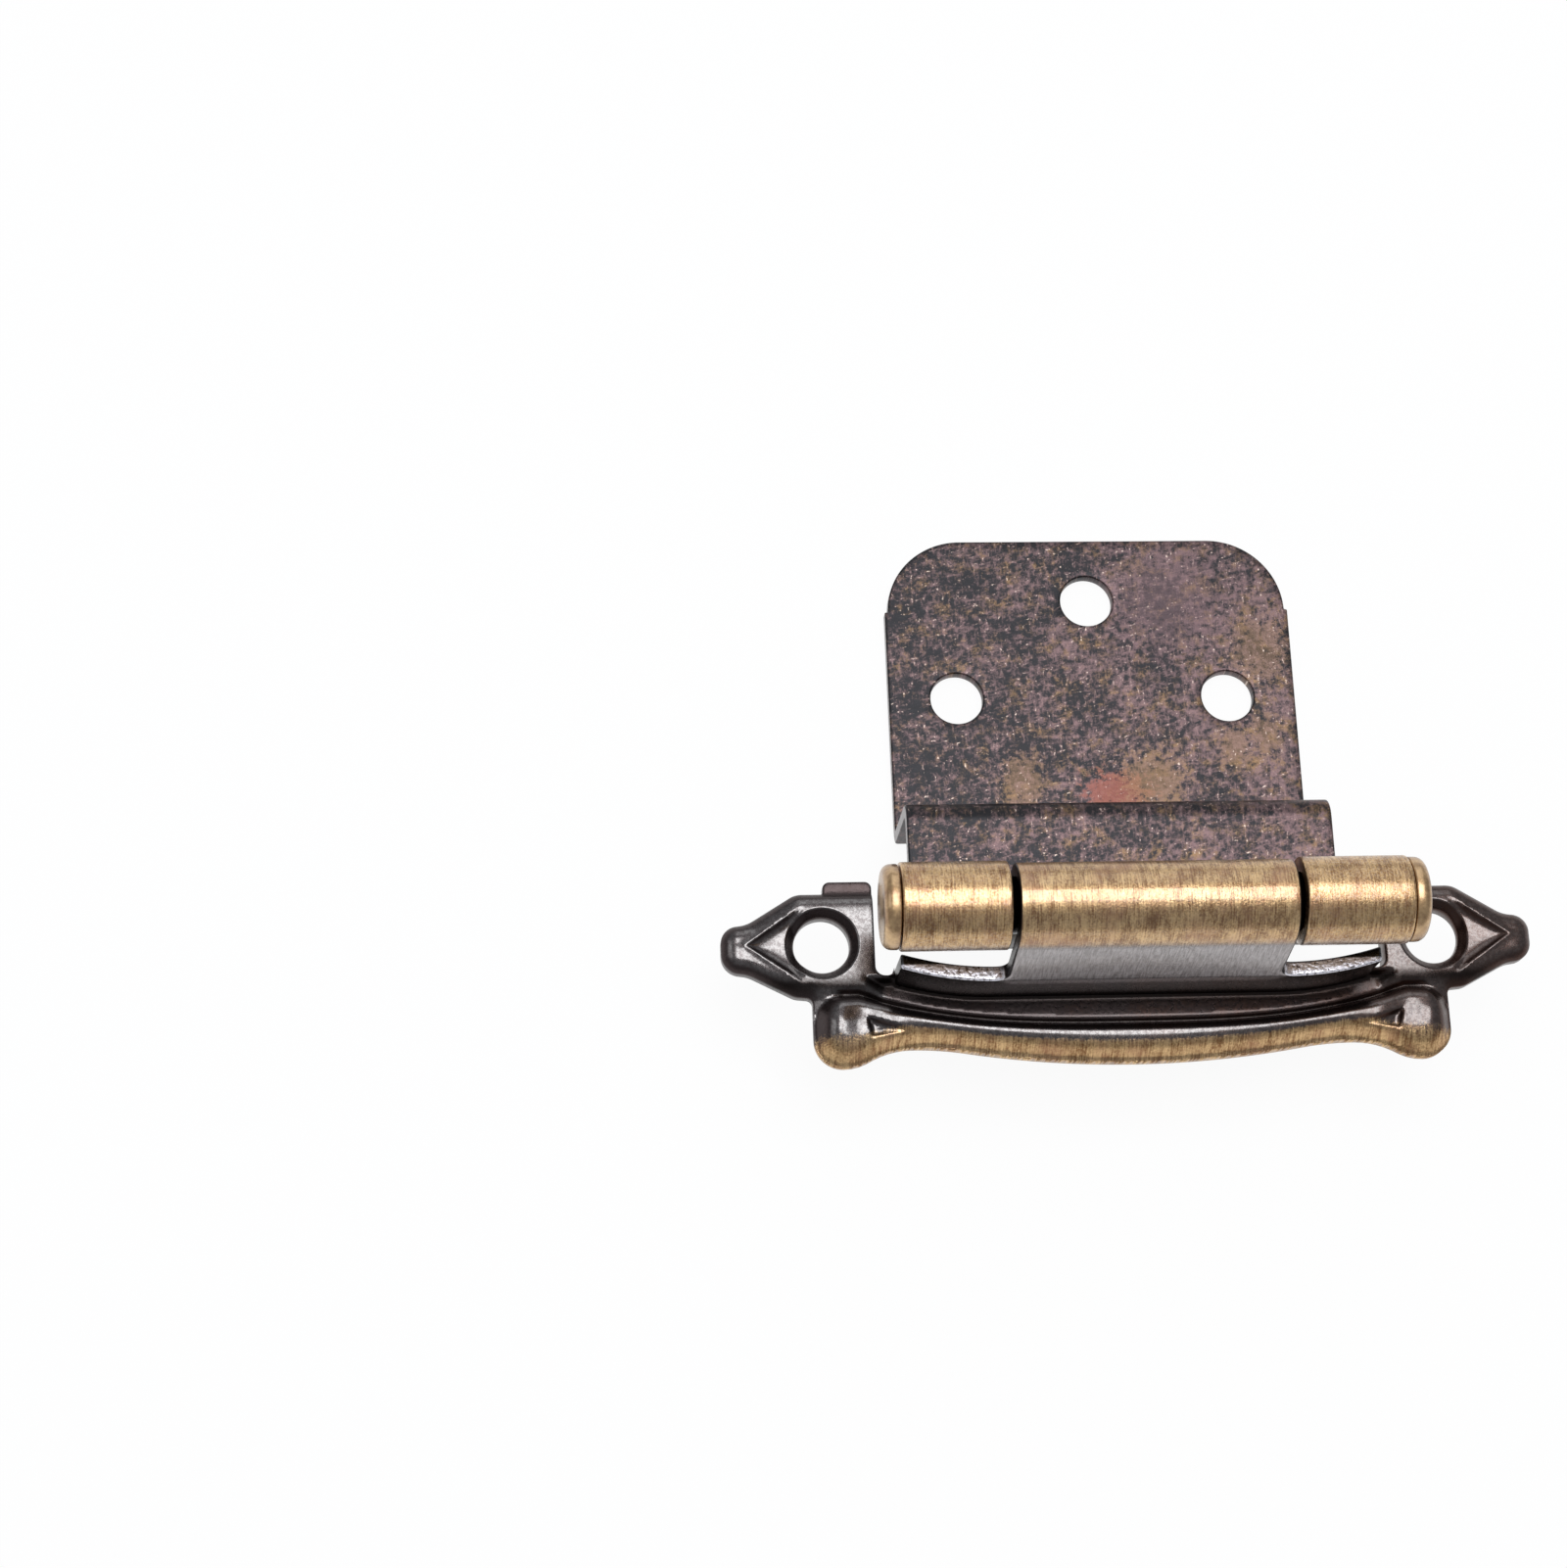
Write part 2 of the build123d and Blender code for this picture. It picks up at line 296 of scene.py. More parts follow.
class Blank:
    """A flat blank, cut along its loops and divided into triangles, with close rows at its edges."""

    def __init__(self, loops, columns, rows, edge=edge_rounding, guides=()):
        angles = np.radians([30, 60, 90])
        edge_points = point_tree(np.concatenate(loops))
        places = [np.concatenate(loops)]
        depths = [np.zeros(len(places[0]))]
        for depth in edge * (1 - np.cos(angles)):
            for loop in loops:
                ring = set_in(loop, depth)
                ring = ring[clear_of(edge_points, ring, 0.9 * depth)]
                places.append(ring)
                depths.append(np.full(len(ring), depth))
        grid = np.stack(np.meshgrid(columns, rows), -1).reshape(-1, 2)
        for inner, room in [(guide, 0.35 * fine_step) for guide in guides] + [(grid, 0.6 * fine_step)]:
            inner = inner[depth_inside(inner, loops[0]) > 0]
            inner = inner[clear_of(edge_points, inner, edge + 0.5 * fine_step)]
            if guides:
                inner = inner[clear_of(point_tree(np.concatenate(places)), inner, room)]
            places.append(inner)
            depths.append(np.full(len(inner), well_inside))
        places = np.concatenate(places)
        depths = np.concatenate(depths)

        rims = []
        start = 0
        for loop in loops:
            numbers = np.arange(start, start + len(loop))
            rims += list(zip(numbers, np.roll(numbers, -1)))
            start += len(loop)
        rims = [(int(a), int(b)) for a, b in rims]
        points, _, faces, sources, _, _ = delaunay_2d_cdt(
            [Vector(place) for place in places], rims, [], 0, 1e-5)
        self.places = np.array([tuple(point) for point in points])
        self.depths = np.array([depths[source[0]] if source else 0.0 for source in sources])
        new_number = {old: new for new, source in enumerate(sources) for old in source}
        self.rims = [(new_number[a], new_number[b]) for a, b in rims]
        self.cut = np.zeros(len(points))
        self.cut[[new_number[number] for number in range(len(loops[0]))]] = 1
        faces = np.array(faces)
        centres = self.places[faces].mean(1)
        kept = depth_inside(centres, loops[0]) > 0
        for hole in loops[1:]:
            kept &= depth_inside(centres, hole[::-1]) < 0
        self.faces = faces[kept]

    def edge_fall(self, edge=edge_rounding):
        """How far the rounded edge has fallen below the face at each place."""
        inward = np.clip(1 - self.depths / edge, 0, 1)
        return edge * (1 - np.sqrt(1 - inward**2))

    def solid(self, front, back):
        """Points and faces of the closed sheet between two heights given at each place."""
        count = len(self.places)
        points = np.concatenate([np.column_stack([self.places, height]) for height in (front, back)])
        faces = [tuple(face) for face in self.faces.tolist()]
        faces += [(c + count, b + count, a + count) for a, b, c in self.faces.tolist()]
        faces += [(a + count, b + count, b, a) for a, b in self.rims]
        return points, faces


def placed(name, data):
    """A new object in the scene for a mesh, curve, lamp or camera."""
    made = bpy.data.objects.new(name, data)
    bpy.context.scene.collection.objects.link(made)
    return made


def hold(mesh, label, values):
    """Keeps a number or a vector at each point of a mesh, for its finish to read."""
    values = np.asarray(values, float)
    kind, field = ("FLOAT", "value") if values.ndim == 1 else ("FLOAT_VECTOR", "vector")
    mesh.attributes.new(label, kind, "POINT").data.foreach_set(field, values.ravel())


def piece(name, points, faces, attributes=()):
    """A smooth piece at the origin, from points in millimetres and values at each point."""
    mesh = bpy.data.meshes.new(name)
    mesh.from_pydata((np.asarray(points) * MM).tolist(), [], faces)
    for label, values in attributes:
        hold(mesh, label, values)
    mesh.shade_smooth()
    return placed(name, mesh)


def points_of(made):
    """The points of a piece's mesh, in millimetres."""
    return np.array([tuple(vertex.co) for vertex in made.data.vertices]) / MM


def on_sheet(places):
    """Places on the flat sheet as vectors in metres."""
    return np.column_stack([places, np.zeros(len(places))]) * MM


# Folding a flat blank along a bent path
def bent_path(start, heading, moves):
    """Points of a path in a plane: each move is (length, 0) or (radius, turn in degrees).

    Also gives the length travelled at each point and at the end of each move.
    """
    place = np.array(start, float)
    way = math.radians(heading)
    points = [place]
    ends = []
    for size, turn in moves:
        if turn == 0:
            ahead = np.array([math.cos(way), math.sin(way)])
            shares = [0.05 / size, 0.5, 1 - 0.05 / size, 1]
            points += [place + share * size * ahead for share in shares]
            place = points[-1]
            ends.append(size)
            continue
        side = math.copysign(1, turn)
        centre = place + side * size * np.array([-math.sin(way), math.cos(way)])
        steps = math.ceil(math.radians(abs(turn)) / bend_step)
        for step in range(1, steps + 1):
            angle = way + math.radians(turn) * step / steps
            points.append(centre + side * size * np.array([math.sin(angle), -math.cos(angle)]))
        way += math.radians(turn)
        place = points[-1]
        ends.append(math.radians(abs(turn)) * size)
    points = np.array(points)
    travelled = np.concatenate([[0], np.cumsum(np.linalg.norm(np.diff(points, axis=0), axis=1))])
    return points, travelled, np.cumsum(ends)


def folding_tree():
    """A tree that lays a flat blank (across, along, height) on a bend path."""
    tree = bpy.data.node_groups.new("fold_along_path", "GeometryNodeTree")
    sockets = [("Blank", "NodeSocketGeometry"), ("Bend path", "NodeSocketObject"),
               ("Across", "NodeSocketVector"), ("Finish", "NodeSocketMaterial")]
    for label, kind in sockets:
        tree.interface.new_socket(label, in_out="INPUT", socket_type=kind)
    tree.interface.new_socket("Folded", in_out="OUTPUT", socket_type="NodeSocketGeometry")

    def node(kind, **settings):
        made = tree.nodes.new(kind)
        for label, value in settings.items():
            setattr(made, label, value)
        return made

    def join(*pairs):
        for output, socket in pairs:
            tree.links.new(output, socket)

    given = node("NodeGroupInput")
    result = node("NodeGroupOutput")
    path = node("GeometryNodeObjectInfo")
    flat = node("GeometryNodeInputPosition")
    parts = node("ShaderNodeSeparateXYZ")
    sample = node("GeometryNodeSampleCurve", mode="LENGTH", use_all_curves=True)
    height_way = node("ShaderNodeVectorMath", operation="CROSS_PRODUCT")
    straight = node("ShaderNodeVectorMath", operation="NORMALIZE")
    raised = node("ShaderNodeVectorMath", operation="SCALE")
    aside = node("ShaderNodeVectorMath", operation="SCALE")
    on_path = node("ShaderNodeVectorMath", operation="ADD")
    folded = node("ShaderNodeVectorMath", operation="ADD")
    place = node("GeometryNodeSetPosition")
    real = node("GeometryNodeRealizeInstances")
    finish = node("GeometryNodeSetMaterial")
    join(
        (given.outputs["Bend path"], path.inputs["Object"]),
        (path.outputs["Geometry"], sample.inputs["Curves"]),
        (flat.outputs[0], parts.inputs[0]),
        (parts.outputs["Y"], sample.inputs["Length"]),
        (given.outputs["Across"], height_way.inputs[0]),
        (sample.outputs["Tangent"], height_way.inputs[1]),
        (height_way.outputs[0], straight.inputs[0]),
        (straight.outputs[0], raised.inputs[0]),
        (parts.outputs["Z"], raised.inputs["Scale"]),
        (given.outputs["Across"], aside.inputs[0]),
        (parts.outputs["X"], aside.inputs["Scale"]),
        (sample.outputs["Position"], on_path.inputs[0]),
        (raised.outputs[0], on_path.inputs[1]),
        (on_path.outputs[0], folded.inputs[0]),
        (aside.outputs[0], folded.inputs[1]),
        (given.outputs["Blank"], place.inputs["Geometry"]),
        (folded.outputs[0], place.inputs["Position"]),
        (place.outputs[0], real.inputs[0]),
        (real.outputs[0], finish.inputs["Geometry"]),
        (given.outputs["Finish"], finish.inputs["Material"]),
        (finish.outputs[0], result.inputs[0]),
    )
    return tree


def fold(flat_piece, tree, path_points, across, finish):
    """Folds a flat piece along a path of points (x, y, z) and leaves it a plain mesh."""
    curve = bpy.data.curves.new("bend_path", "CURVE")
    curve.dimensions = "3D"
    spline = curve.splines.new("POLY")
    spline.points.add(len(path_points) - 1)
    for point, place in zip(spline.points, path_points):
        point.co = (*(Vector(place) * MM), 1)
    path = placed("bend_path", curve)
    modifier = flat_piece.modifiers.new("fold", "NODES")
    modifier.node_group = tree
    values = {"Bend path": path, "Across": across, "Finish": finish}
    for item in tree.interface.items_tree:
        if item.in_out == "INPUT" and item.name in values:
            modifier[item.identifier] = values[item.name]
    depsgraph = bpy.context.evaluated_depsgraph_get()
    mesh = bpy.data.meshes.new_from_object(
        flat_piece.evaluated_get(depsgraph), preserve_all_data_layers=True, depsgraph=depsgraph)
    flat_piece.modifiers.clear()
    old = flat_piece.data
    flat_piece.data = mesh
    bpy.data.meshes.remove(old)
    mesh.name = flat_piece.name
    bpy.data.objects.remove(path)
    bpy.data.curves.remove(curve)
    return flat_piece


def smooth(values, low, high):
    """A soft step from 0 at low to 1 at high."""
    share = np.clip((values - low) / (high - low), 0, 1)
    return share * share * (3 - 2 * share)


def evenly(low, high, spacing):
    return np.linspace(low, high, max(2, math.ceil((high - low) / spacing) + 1))


# Shader values, with bump heights in metres
DEEP_BUMP = 0.00004
FAINT_BUMP = 0.00003


class Value:
    """A shader socket that takes part in arithmetic; each operation adds its Math node."""

    def __init__(self, tree, socket=None):
        self.tree = tree
        self.socket = socket

    def node(self, kind, settings=None, inputs=None, output=0):
        """Adds a node, sets it up, fills its sockets with numbers or values and gives one output."""
        made = self.tree.nodes.new(kind)
        for label, setting in (settings or {}).items():
            setattr(made, label, setting)
        for label, given in (inputs or {}).items():
            if isinstance(given, Value):
                self.tree.links.new(given.socket, made.inputs[label])
            else:
                made.inputs[label].default_value = given
        return Value(self.tree, made.outputs[output])

    def math(self, operation, first, second=0.0):
        return self.node("ShaderNodeMath", {"operation": operation}, {0: first, 1: second})

    def __add__(self, other):
        return self.math("ADD", self, other)

    def __radd__(self, other):
        return self.math("ADD", other, self)

    def __sub__(self, other):
        return self.math("SUBTRACT", self, other)

    def __rsub__(self, other):
        return self.math("SUBTRACT", other, self)

    def __mul__(self, other):
        return self.math("MULTIPLY", self, other)

    def __rmul__(self, other):
        return self.math("MULTIPLY", other, self)


def new_finish(name):
    """An empty material: gives it, its main shader and a value to start from."""
    material = bpy.data.materials.new(name)
    material.use_nodes = True
    shader = material.node_tree.nodes["Principled BSDF"]
    return material, shader, Value(material.node_tree)


def plug(shader, **values):
    """Sets or links the main shader's sockets, named with underscores for spaces."""
    for label, given in values.items():
        socket = shader.inputs[label.replace("_", " ")]
        if isinstance(given, Value):
            shader.id_data.links.new(given.socket, socket)
        else:
            socket.default_value = given


def between(start, factor, first, second):
    """One colour turning into another by a factor."""
    return start.node("ShaderNodeMix", {"data_type": "RGBA"}, {0: factor, 6: first, 7: second}, 2)


def soft_step(start, value, low, high):
    return start.node("ShaderNodeMapRange", {"interpolation_type": "SMOOTHSTEP"},
                      {"Value": value, "From Min": low, "From Max": high})


def noise(start, place, scale, detail=3.0, roughness=0.55):
    """Noise about 0.5 with so many cells to the metre."""
    return start.node("ShaderNodeTexNoise", {}, {
        "Vector": place, "Scale": scale, "Detail": detail, "Roughness": roughness})


def stretched(start, place, factors):
    return start.node("ShaderNodeVectorMath", {"operation": "MULTIPLY"}, {0: place, 1: factors})


def attribute(start, name):
    """A value that the mesh holds at each point."""
    return start.node("ShaderNodeAttribute", {"attribute_name": name}, {}, "Fac")


def sheet_place(start):
    """The place on the flat sheet, before it was folded, in metres."""
    return start.node("ShaderNodeAttribute", {"attribute_name": "sheet_place"}, {}, "Vector")


def object_place(start):
    """The place on the finished piece, in metres."""
    return start.node("ShaderNodeTexCoord", output="Object")


def component(start, place, way):
    return start.node("ShaderNodeSeparateXYZ", {}, {"Vector": place}, way)


def bumped(start, height, strength, distance=DEEP_BUMP):
    return start.node("ShaderNodeBump", {}, {
        "Strength": strength, "Distance": distance, "Height": height})


def sheared_edge(start):
    """1 where the sheet was cut through, 0 on its faces."""
    return soft_step(start, attribute(start, "sheared"), 0.45, 0.8)


def streaked(start, film, strokes):
    """The painted grey reflection, broken into streaks by the brush."""
    return soft_step(start, film + (strokes - 0.6) * 0.5, 0.2, 0.8)


# Colours of the finishes and the stage
BRASS_BRIGHT = (0.72, 0.49, 0.25, 1)
BRASS_DEEP = (0.235, 0.118, 0.050, 1)
BRASS_RED = (0.40, 0.21, 0.12, 1)
BROWN_COOL = (0.052, 0.039, 0.039, 1)
BROWN_WARM = (0.064, 0.035, 0.028, 1)
REFLECTION_GREY = (0.42, 0.388, 0.398, 1)
REFLECTION_DARK = (0.21, 0.187, 0.188, 1)
CUT_STEEL = (0.80, 0.79, 0.86, 1)
CUT_DULL = (0.46, 0.44, 0.45, 1)
CUT_DARK = (0.17, 0.155, 0.155, 1)
PAINTED_SHADE_BROWN = (0.014, 0.010, 0.009, 1)
PAINTED_SHADE_BLACK = (0.006, 0.005, 0.005, 1)
CHARCOAL = (0.024, 0.024, 0.027, 1)
MAUVE = (0.172, 0.113, 0.117, 1)
BRONZE_TAN = (0.205, 0.128, 0.072, 1)
BRONZE_COPPER = (0.20, 0.074, 0.058, 1)
BRONZE_LILAC = (0.13, 0.086, 0.095, 1)
SPARKLE = (0.70, 0.58, 0.50, 1)
OLIVE_DEEP = (0.10, 0.085, 0.045, 1)
OLIVE_LIGHT = (0.16, 0.135, 0.075, 1)
SPRING_DARK = (0.30, 0.29, 0.28, 1)
SPRING_LIGHT = (0.52, 0.51, 0.49, 1)
TABLE_WHITE = (0.92, 0.93, 0.95, 1)
LAMP_WHITE = (1, 1, 1, 1)
SKY_WHITE = (0.93, 0.96, 1.0, 1)

# The wall's sheared top is bright in front of this line; behind it, it is painted black as shade under
# the barrel
edge_shade_line = -3.35
edge_shade_blend = 0.08


def brushed_brass(start, place):
    """Colour of brass brushed along the sheet, colour of its painted grey reflection, roughness and
    height.
    """
    strokes = noise(start, stretched(start, place, (1, 0.08, 1)), 7500, 3.0, 0.6)
    stain = noise(start, stretched(start, place, (1, 0.6, 1)), 900, 5.0, 0.7)
    grain = noise(start, place, 6000, 2.0, 0.6)
    shade = soft_step(start, strokes * 0.4 + stain * 0.45 + grain * 0.25, 0.44, 0.66)
    blush = soft_step(start, noise(start, place, 330, 3.0, 0.6), 0.46, 0.66)
    colour = between(start, blush * 0.45, between(start, shade, BRASS_DEEP, BRASS_BRIGHT), BRASS_RED)
    rough = 0.25 + strokes * 0.14
    # Painted grey reflection: a grey that stands in for the reflection on the barrel's lower side and
    # on the tab
    film = between(start, soft_step(start, strokes, 0.35, 0.65), REFLECTION_DARK, REFLECTION_GREY)
    return colour, film, rough, strokes * 0.7 + grain * 0.8


def frame_leaf_finish():
    """Dark brown under a clear lacquer, brushed through to brass where relief says, with a painted grey
    reflection on the tab, painted shade in the hollows and on the cut sides, and painted shade under
    the barrel on the wall's sheared top.
    """
    material, shader, start = new_finish("dark_brass_stamping")
    place = sheet_place(start)
    spot = object_place(start)
    x, y = (component(start, spot, way) for way in "XY")
    brass, grey_reflection_colour, brass_rough, strokes = brushed_brass(start, place)
    grain = noise(start, spot, 2800, 2.0, 0.5)
    fine = noise(start, spot, 7000, 2.0, 0.6)
    cloud = noise(start, spot, 300, 3.0)
    warmth = soft_step(start, cloud + (grain - 0.5) * 0.6 + x * 9.0, 0.35, 0.85)
    dark = between(start, warmth, BROWN_COOL, BROWN_WARM)
    relief = attribute(start, "relief")
    rubbed = soft_step(start, relief + (strokes - 0.7) * 0.5 + (grain - 0.5) * 0.35, 0.32, 0.75)
    # Painted grey reflection on the tab, where the mesh holds it
    film = attribute(start, "film")
    body = between(start, streaked(start, film, strokes), between(start, rubbed, dark, brass), grey_reflection_colour)
    cut = sheared_edge(start)
    # Painted shade under the barrel: the back of the wall's sheared top is painted black
    barrel_shade = soft_step(start, y, (edge_shade_line - edge_shade_blend) * MM,
                       (edge_shade_line + edge_shade_blend) * MM)
    speckle = soft_step(start, grain * 0.6 + fine * 0.4, 0.32, 0.50)
    edge = between(start, barrel_shade, between(start, speckle, BROWN_WARM, CUT_STEEL), PAINTED_SHADE_BLACK)
    # Painted shade: the valley, the groove, the wall's front below the tab and the cut sides turn
    # near-black brown
    shade = attribute(start, "shade")
    body = between(start, shade, body, PAINTED_SHADE_BROWN)
    kept = 0.45 + soft_step(start, grain * 0.5 + fine * 0.5, 0.40, 0.60) * 0.55
    lacquer = kept * attribute(start, "level") * (1.0 - soft_step(start, x, 0.0, 0.03) * 0.4)
    plug(shader, Base_Color=between(start, cut, body, edge), Metallic=0.9,
         Roughness=(0.30 + (grain - 0.5) * 0.2) * (1 - rubbed) + brass_rough * rubbed + film * 0.06,
         Coat_Weight=lacquer * (1 - shade) * (1 - rubbed * 0.5), Coat_Roughness=0.16, Coat_IOR=2.3)
    height = (grain * 0.5 + fine * 0.25) * (1 - rubbed) + strokes * rubbed + grain * cut * 2.0
    plug(shader, Normal=bumped(start, height, 0.9))
    return material


def bronze_patches(start, place, blotch, bronze):
    """Worn patches where the bronze shows tan, copper or lilac, by place and radius in millimetres."""
    patches = [
        (BRONZE_COPPER, 0.75, (1.7, 16.6), (3.0, 2.0)),
        (BRONZE_TAN, 0.38, (-7.0, 17.6), (2.0, 2.8)),
        (BRONZE_TAN, 0.48, (5.2, 17.8), (3.0, 2.8)),
        (BRONZE_TAN, 0.38, (13.0, 20.8), (1.6, 2.2)),
        (BRONZE_TAN, 0.38, (16.1, 22.0), (1.6, 2.2)),
        (BRONZE_TAN, 0.33, (16.0, 30.5), (2.8, 3.4)),
        (BRONZE_LILAC, 0.4, (7.5, 36.0), (6.0, 6.0)),
    ]
    for colour, share, (x, y), (across, along) in patches:
        scaled = stretched(start, place, (1 / (across * MM), 1 / (along * MM), 1))
        away = start.node("ShaderNodeVectorMath", {"operation": "DISTANCE"},
                          {0: scaled, 1: (x / across, y / along, 0)}, "Value")
        worn = soft_step(start, away + (0.5 - blotch) * 4.0, 1.25, 0.6)
        bronze = between(start, worn * share, bronze, colour)
    return bronze


def door_leaf_finish():
    """Mottled bronze with short fibrous flecks on the flats, brushed brass on the knuckles with a
    painted grey reflection on their lower side.
    """
    material, shader, start = new_finish("mottled_bronze_sheet")
    place = sheet_place(start)
    brass, grey_reflection_colour, brass_rough, strokes = brushed_brass(start, place)
    rising = noise(start, stretched(start, place, (1, 0.3, 1)), 3200, 3.0, 0.6)
    turned_place = start.node("ShaderNodeMapping", {}, {"Vector": place, "Rotation": (0, 0, 1.3)})
    falling = noise(start, stretched(start, turned_place, (1, 0.3, 1)), 3200, 3.0, 0.6)
    fleck = start.math("MAXIMUM", rising, falling)
    blotch = noise(start, place, 1300, 5.0, 0.75)
    cloud = noise(start, place, 220, 2.0, 0.5)
    hue = noise(start, place, 500, 5.0, 0.75)
    pits = noise(start, place, 5200, 2.0)
    tint = between(start, soft_step(start, hue, 0.47, 0.65), MAUVE, BRONZE_TAN)
    across = component(start, place, "X")
    mottle = soft_step(start, blotch * 0.7 + fleck * 0.6 + cloud * 0.3 + across * 2.0, 0.73, 0.99)
    bronze = bronze_patches(start, place, blotch, between(start, mottle, CHARCOAL, tint))
    spark = soft_step(start, pits * 0.4 + fleck * 0.75, 0.70, 0.82)
    bronze = between(start, spark, bronze, SPARKLE)
    rubbed = attribute(start, "relief")
    # Painted grey reflection on the knuckles' lower side
    film = streaked(start, attribute(start, "film"), strokes)
    body = between(start, rubbed, bronze, between(start, film, brass, grey_reflection_colour))
    edge = between(start, soft_step(start, pits, 0.3, 0.7), CUT_DARK, CUT_DULL)
    lacquer = rubbed * soft_step(start, pits, 0.38, 0.62) * 0.7
    plug(shader, Base_Color=between(start, sheared_edge(start), body, edge), Metallic=0.9,
         Roughness=(0.40 + (fleck - 0.5) * 0.25) * (1 - rubbed) + brass_rough * rubbed,
         Coat_Weight=lacquer, Coat_Roughness=0.2, Coat_IOR=1.9)
    height = (fleck + pits * 0.6) * (1 - rubbed) + strokes * rubbed
    plug(shader, Normal=bumped(start, height, 0.55))
    return material


def pin_finish():
    """Turned brass with dark stains, painted black between the heads as shade in the gaps between the
    knuckles.
    """
    material, shader, start = new_finish("turned_brass")
    spot = object_place(start)
    x = component(start, spot, "X")
    stain = noise(start, spot, 420, 4.0)
    fine = noise(start, spot, 3000, 2.0)
    shade = soft_step(start, stain * 0.8 + fine * 0.25, 0.35, 0.75)
    # Painted shade: the pin is black between the heads, where only the knuckles' gaps show it
    head = soft_step(start, start.math("ABSOLUTE", x),
                     (barrel_end - head_gap) * MM, (barrel_end + head_gap) * MM)
    brass = between(start, shade, BRASS_DEEP, BRASS_BRIGHT)
    plug(shader, Base_Color=between(start, head, PAINTED_SHADE_BLACK, brass), Metallic=0.9,
         Roughness=0.28 + fine * 0.16, Coat_Weight=0.5, Coat_Roughness=0.2, Coat_IOR=1.9)
    plug(shader, Normal=bumped(start, fine, 0.2, FAINT_BUMP))
    return material


def follower_finish():
    """Moulded plastic, olive brown, with a satin skin."""
    material, shader, start = new_finish("moulded_plastic")
    spot = object_place(start)
    cloud = noise(start, spot, 300, 3.0)
    skin = noise(start, spot, 4200, 2.0)
    plug(shader, Base_Color=between(start, cloud, OLIVE_DEEP, OLIVE_LIGHT),
         Roughness=0.34 + skin * 0.12)
    plug(shader, Normal=bumped(start, skin, 0.15, FAINT_BUMP))
    return material


def spring_finish():
    """Hardened steel with drawing lines along the strip."""
    material, shader, start = new_finish("drawn_steel")
    place = sheet_place(start)
    lines = noise(start, stretched(start, place, (1, 0.03, 1)), 4000, 3.0)
    plug(shader, Base_Color=between(start, lines, SPRING_DARK, SPRING_LIGHT),
         Metallic=1.0, Roughness=0.26 + lines * 0.14)
    plug(shader, Normal=bumped(start, lines, 0.15, FAINT_BUMP))
    return material


# Door leaf
def make_door_leaf(tree, finish):
    """One blank, folded from the knuckles' seam, over the legs and the step, to the plate's end."""
    leg_back = leg_face - sheet
    neck_centre = neck_bend - leg_back
    neck_drop = math.sqrt((barrel_radius + neck_bend) ** 2 - neck_centre**2)
    neck_turn = math.degrees(math.atan2(neck_drop, neck_centre))
    seam = seam_angle - 90
    curl_turn = 180 + neck_turn - seam
    leg_radius = leg_bend + half_sheet
    step_radius = step_bend + half_sheet
    plate_radius = plate_bend + half_sheet
    neck_height = axis_height - neck_drop
    wall_y = step_face - half_sheet
    leg_y = leg_face - half_sheet
    plate_z = plate_back + half_sheet
    seam_way = math.radians(seam)
    start = (curl_radius * math.cos(seam_way), axis_height + curl_radius * math.sin(seam_way))
    moves = [
        (curl_radius, curl_turn),
        (neck_bend + half_sheet, -neck_turn),
        (neck_height - half_sheet - leg_radius, 0),
        (leg_radius, 90),
        (wall_y - step_radius - leg_y - leg_radius, 0),
        (step_radius, -90),
        (half_sheet - step_radius - plate_z - plate_radius, 0),
        (plate_radius, 90),
        (plate_end - wall_y - plate_radius, 0),
    ]
    points, travelled, ends = bent_path(start, seam + 90, moves)
    curl_end, neck_end, window_end, total = ends[0], ends[1], ends[3], ends[-1]
    corners = [
        (outer_start, window_end, 0.4),
        (outer_start, 0, 0.25),
        (barrel_end, 0, 0.25),
        (barrel_end, curl_end, 0.3),
        (leaf_half, curl_end, 0.3),
        (leaf_half, total - plate_corner, 0.14),
        (leaf_half - corner_shear, total - plate_corner, 0.14),
        (leaf_half - corner_shear, total, plate_corner),
    ]
    loops = [outline(mirrored(corners))]
    for x, y in ((-plate_hole_x, plate_hole_y), (plate_hole_x, plate_hole_y), (0, third_hole_y)):
        loops.append(screw_hole(x, total - plate_end + y, hole_radius))
    rows = np.unique(np.concatenate([travelled, evenly(0, total, 1.0)]).round(3))
    blank = Blank(loops, evenly(-barrel_end, barrel_end, 0.8), rows)
    height = half_sheet - blank.edge_fall()
    flat, faces = blank.solid(height, -height)
    places = both_faces(blank.places)
    rubbed = 1 - smooth(places[:, 1], curl_end - 1, neck_end)
    sheared = both_faces(blank.cut) * (1 - rubbed)
    plan = np.column_stack([places[:, 0], places[:, 1] - total + plate_end])
    leaf = piece("door_leaf_sheet", flat, faces, [
        ("sheet_place", on_sheet(plan)), ("relief", rubbed), ("sheared", sheared)])
    leaf = fold(leaf, tree, [(0, *point) for point in points], (1, 0, 0), finish)
    _, y, z = points_of(leaf).T
    # Painted grey reflection on the outer knuckles' lower side, set by the angle round the barrel
    around = np.degrees(np.arctan2(-y, z - axis_height))
    outside = np.hypot(y, z - axis_height) > barrel_radius - 0.2
    film = smooth(around, reflection_start, reflection_full) * smooth(around, reflection_end, reflection_fade)
    hold(leaf.data, "film", reflection_share * film * outside)
    return leaf


# Frame leaf
def s_bend(along, run, rise, reach):
    """The rise of a line of two arcs that is level at both ends and turns back at the reach."""
    turn = 2 * math.atan2(rise, run)
    bow = reach / math.sin(turn)
    back = (run - reach) / math.sin(turn)
    early = bow - np.sqrt(bow**2 - np.clip(along, 0, reach) ** 2)
    late = rise - back + np.sqrt(back**2 - (run - np.clip(along, reach, run)) ** 2)
    return np.where(along < reach, early, late)


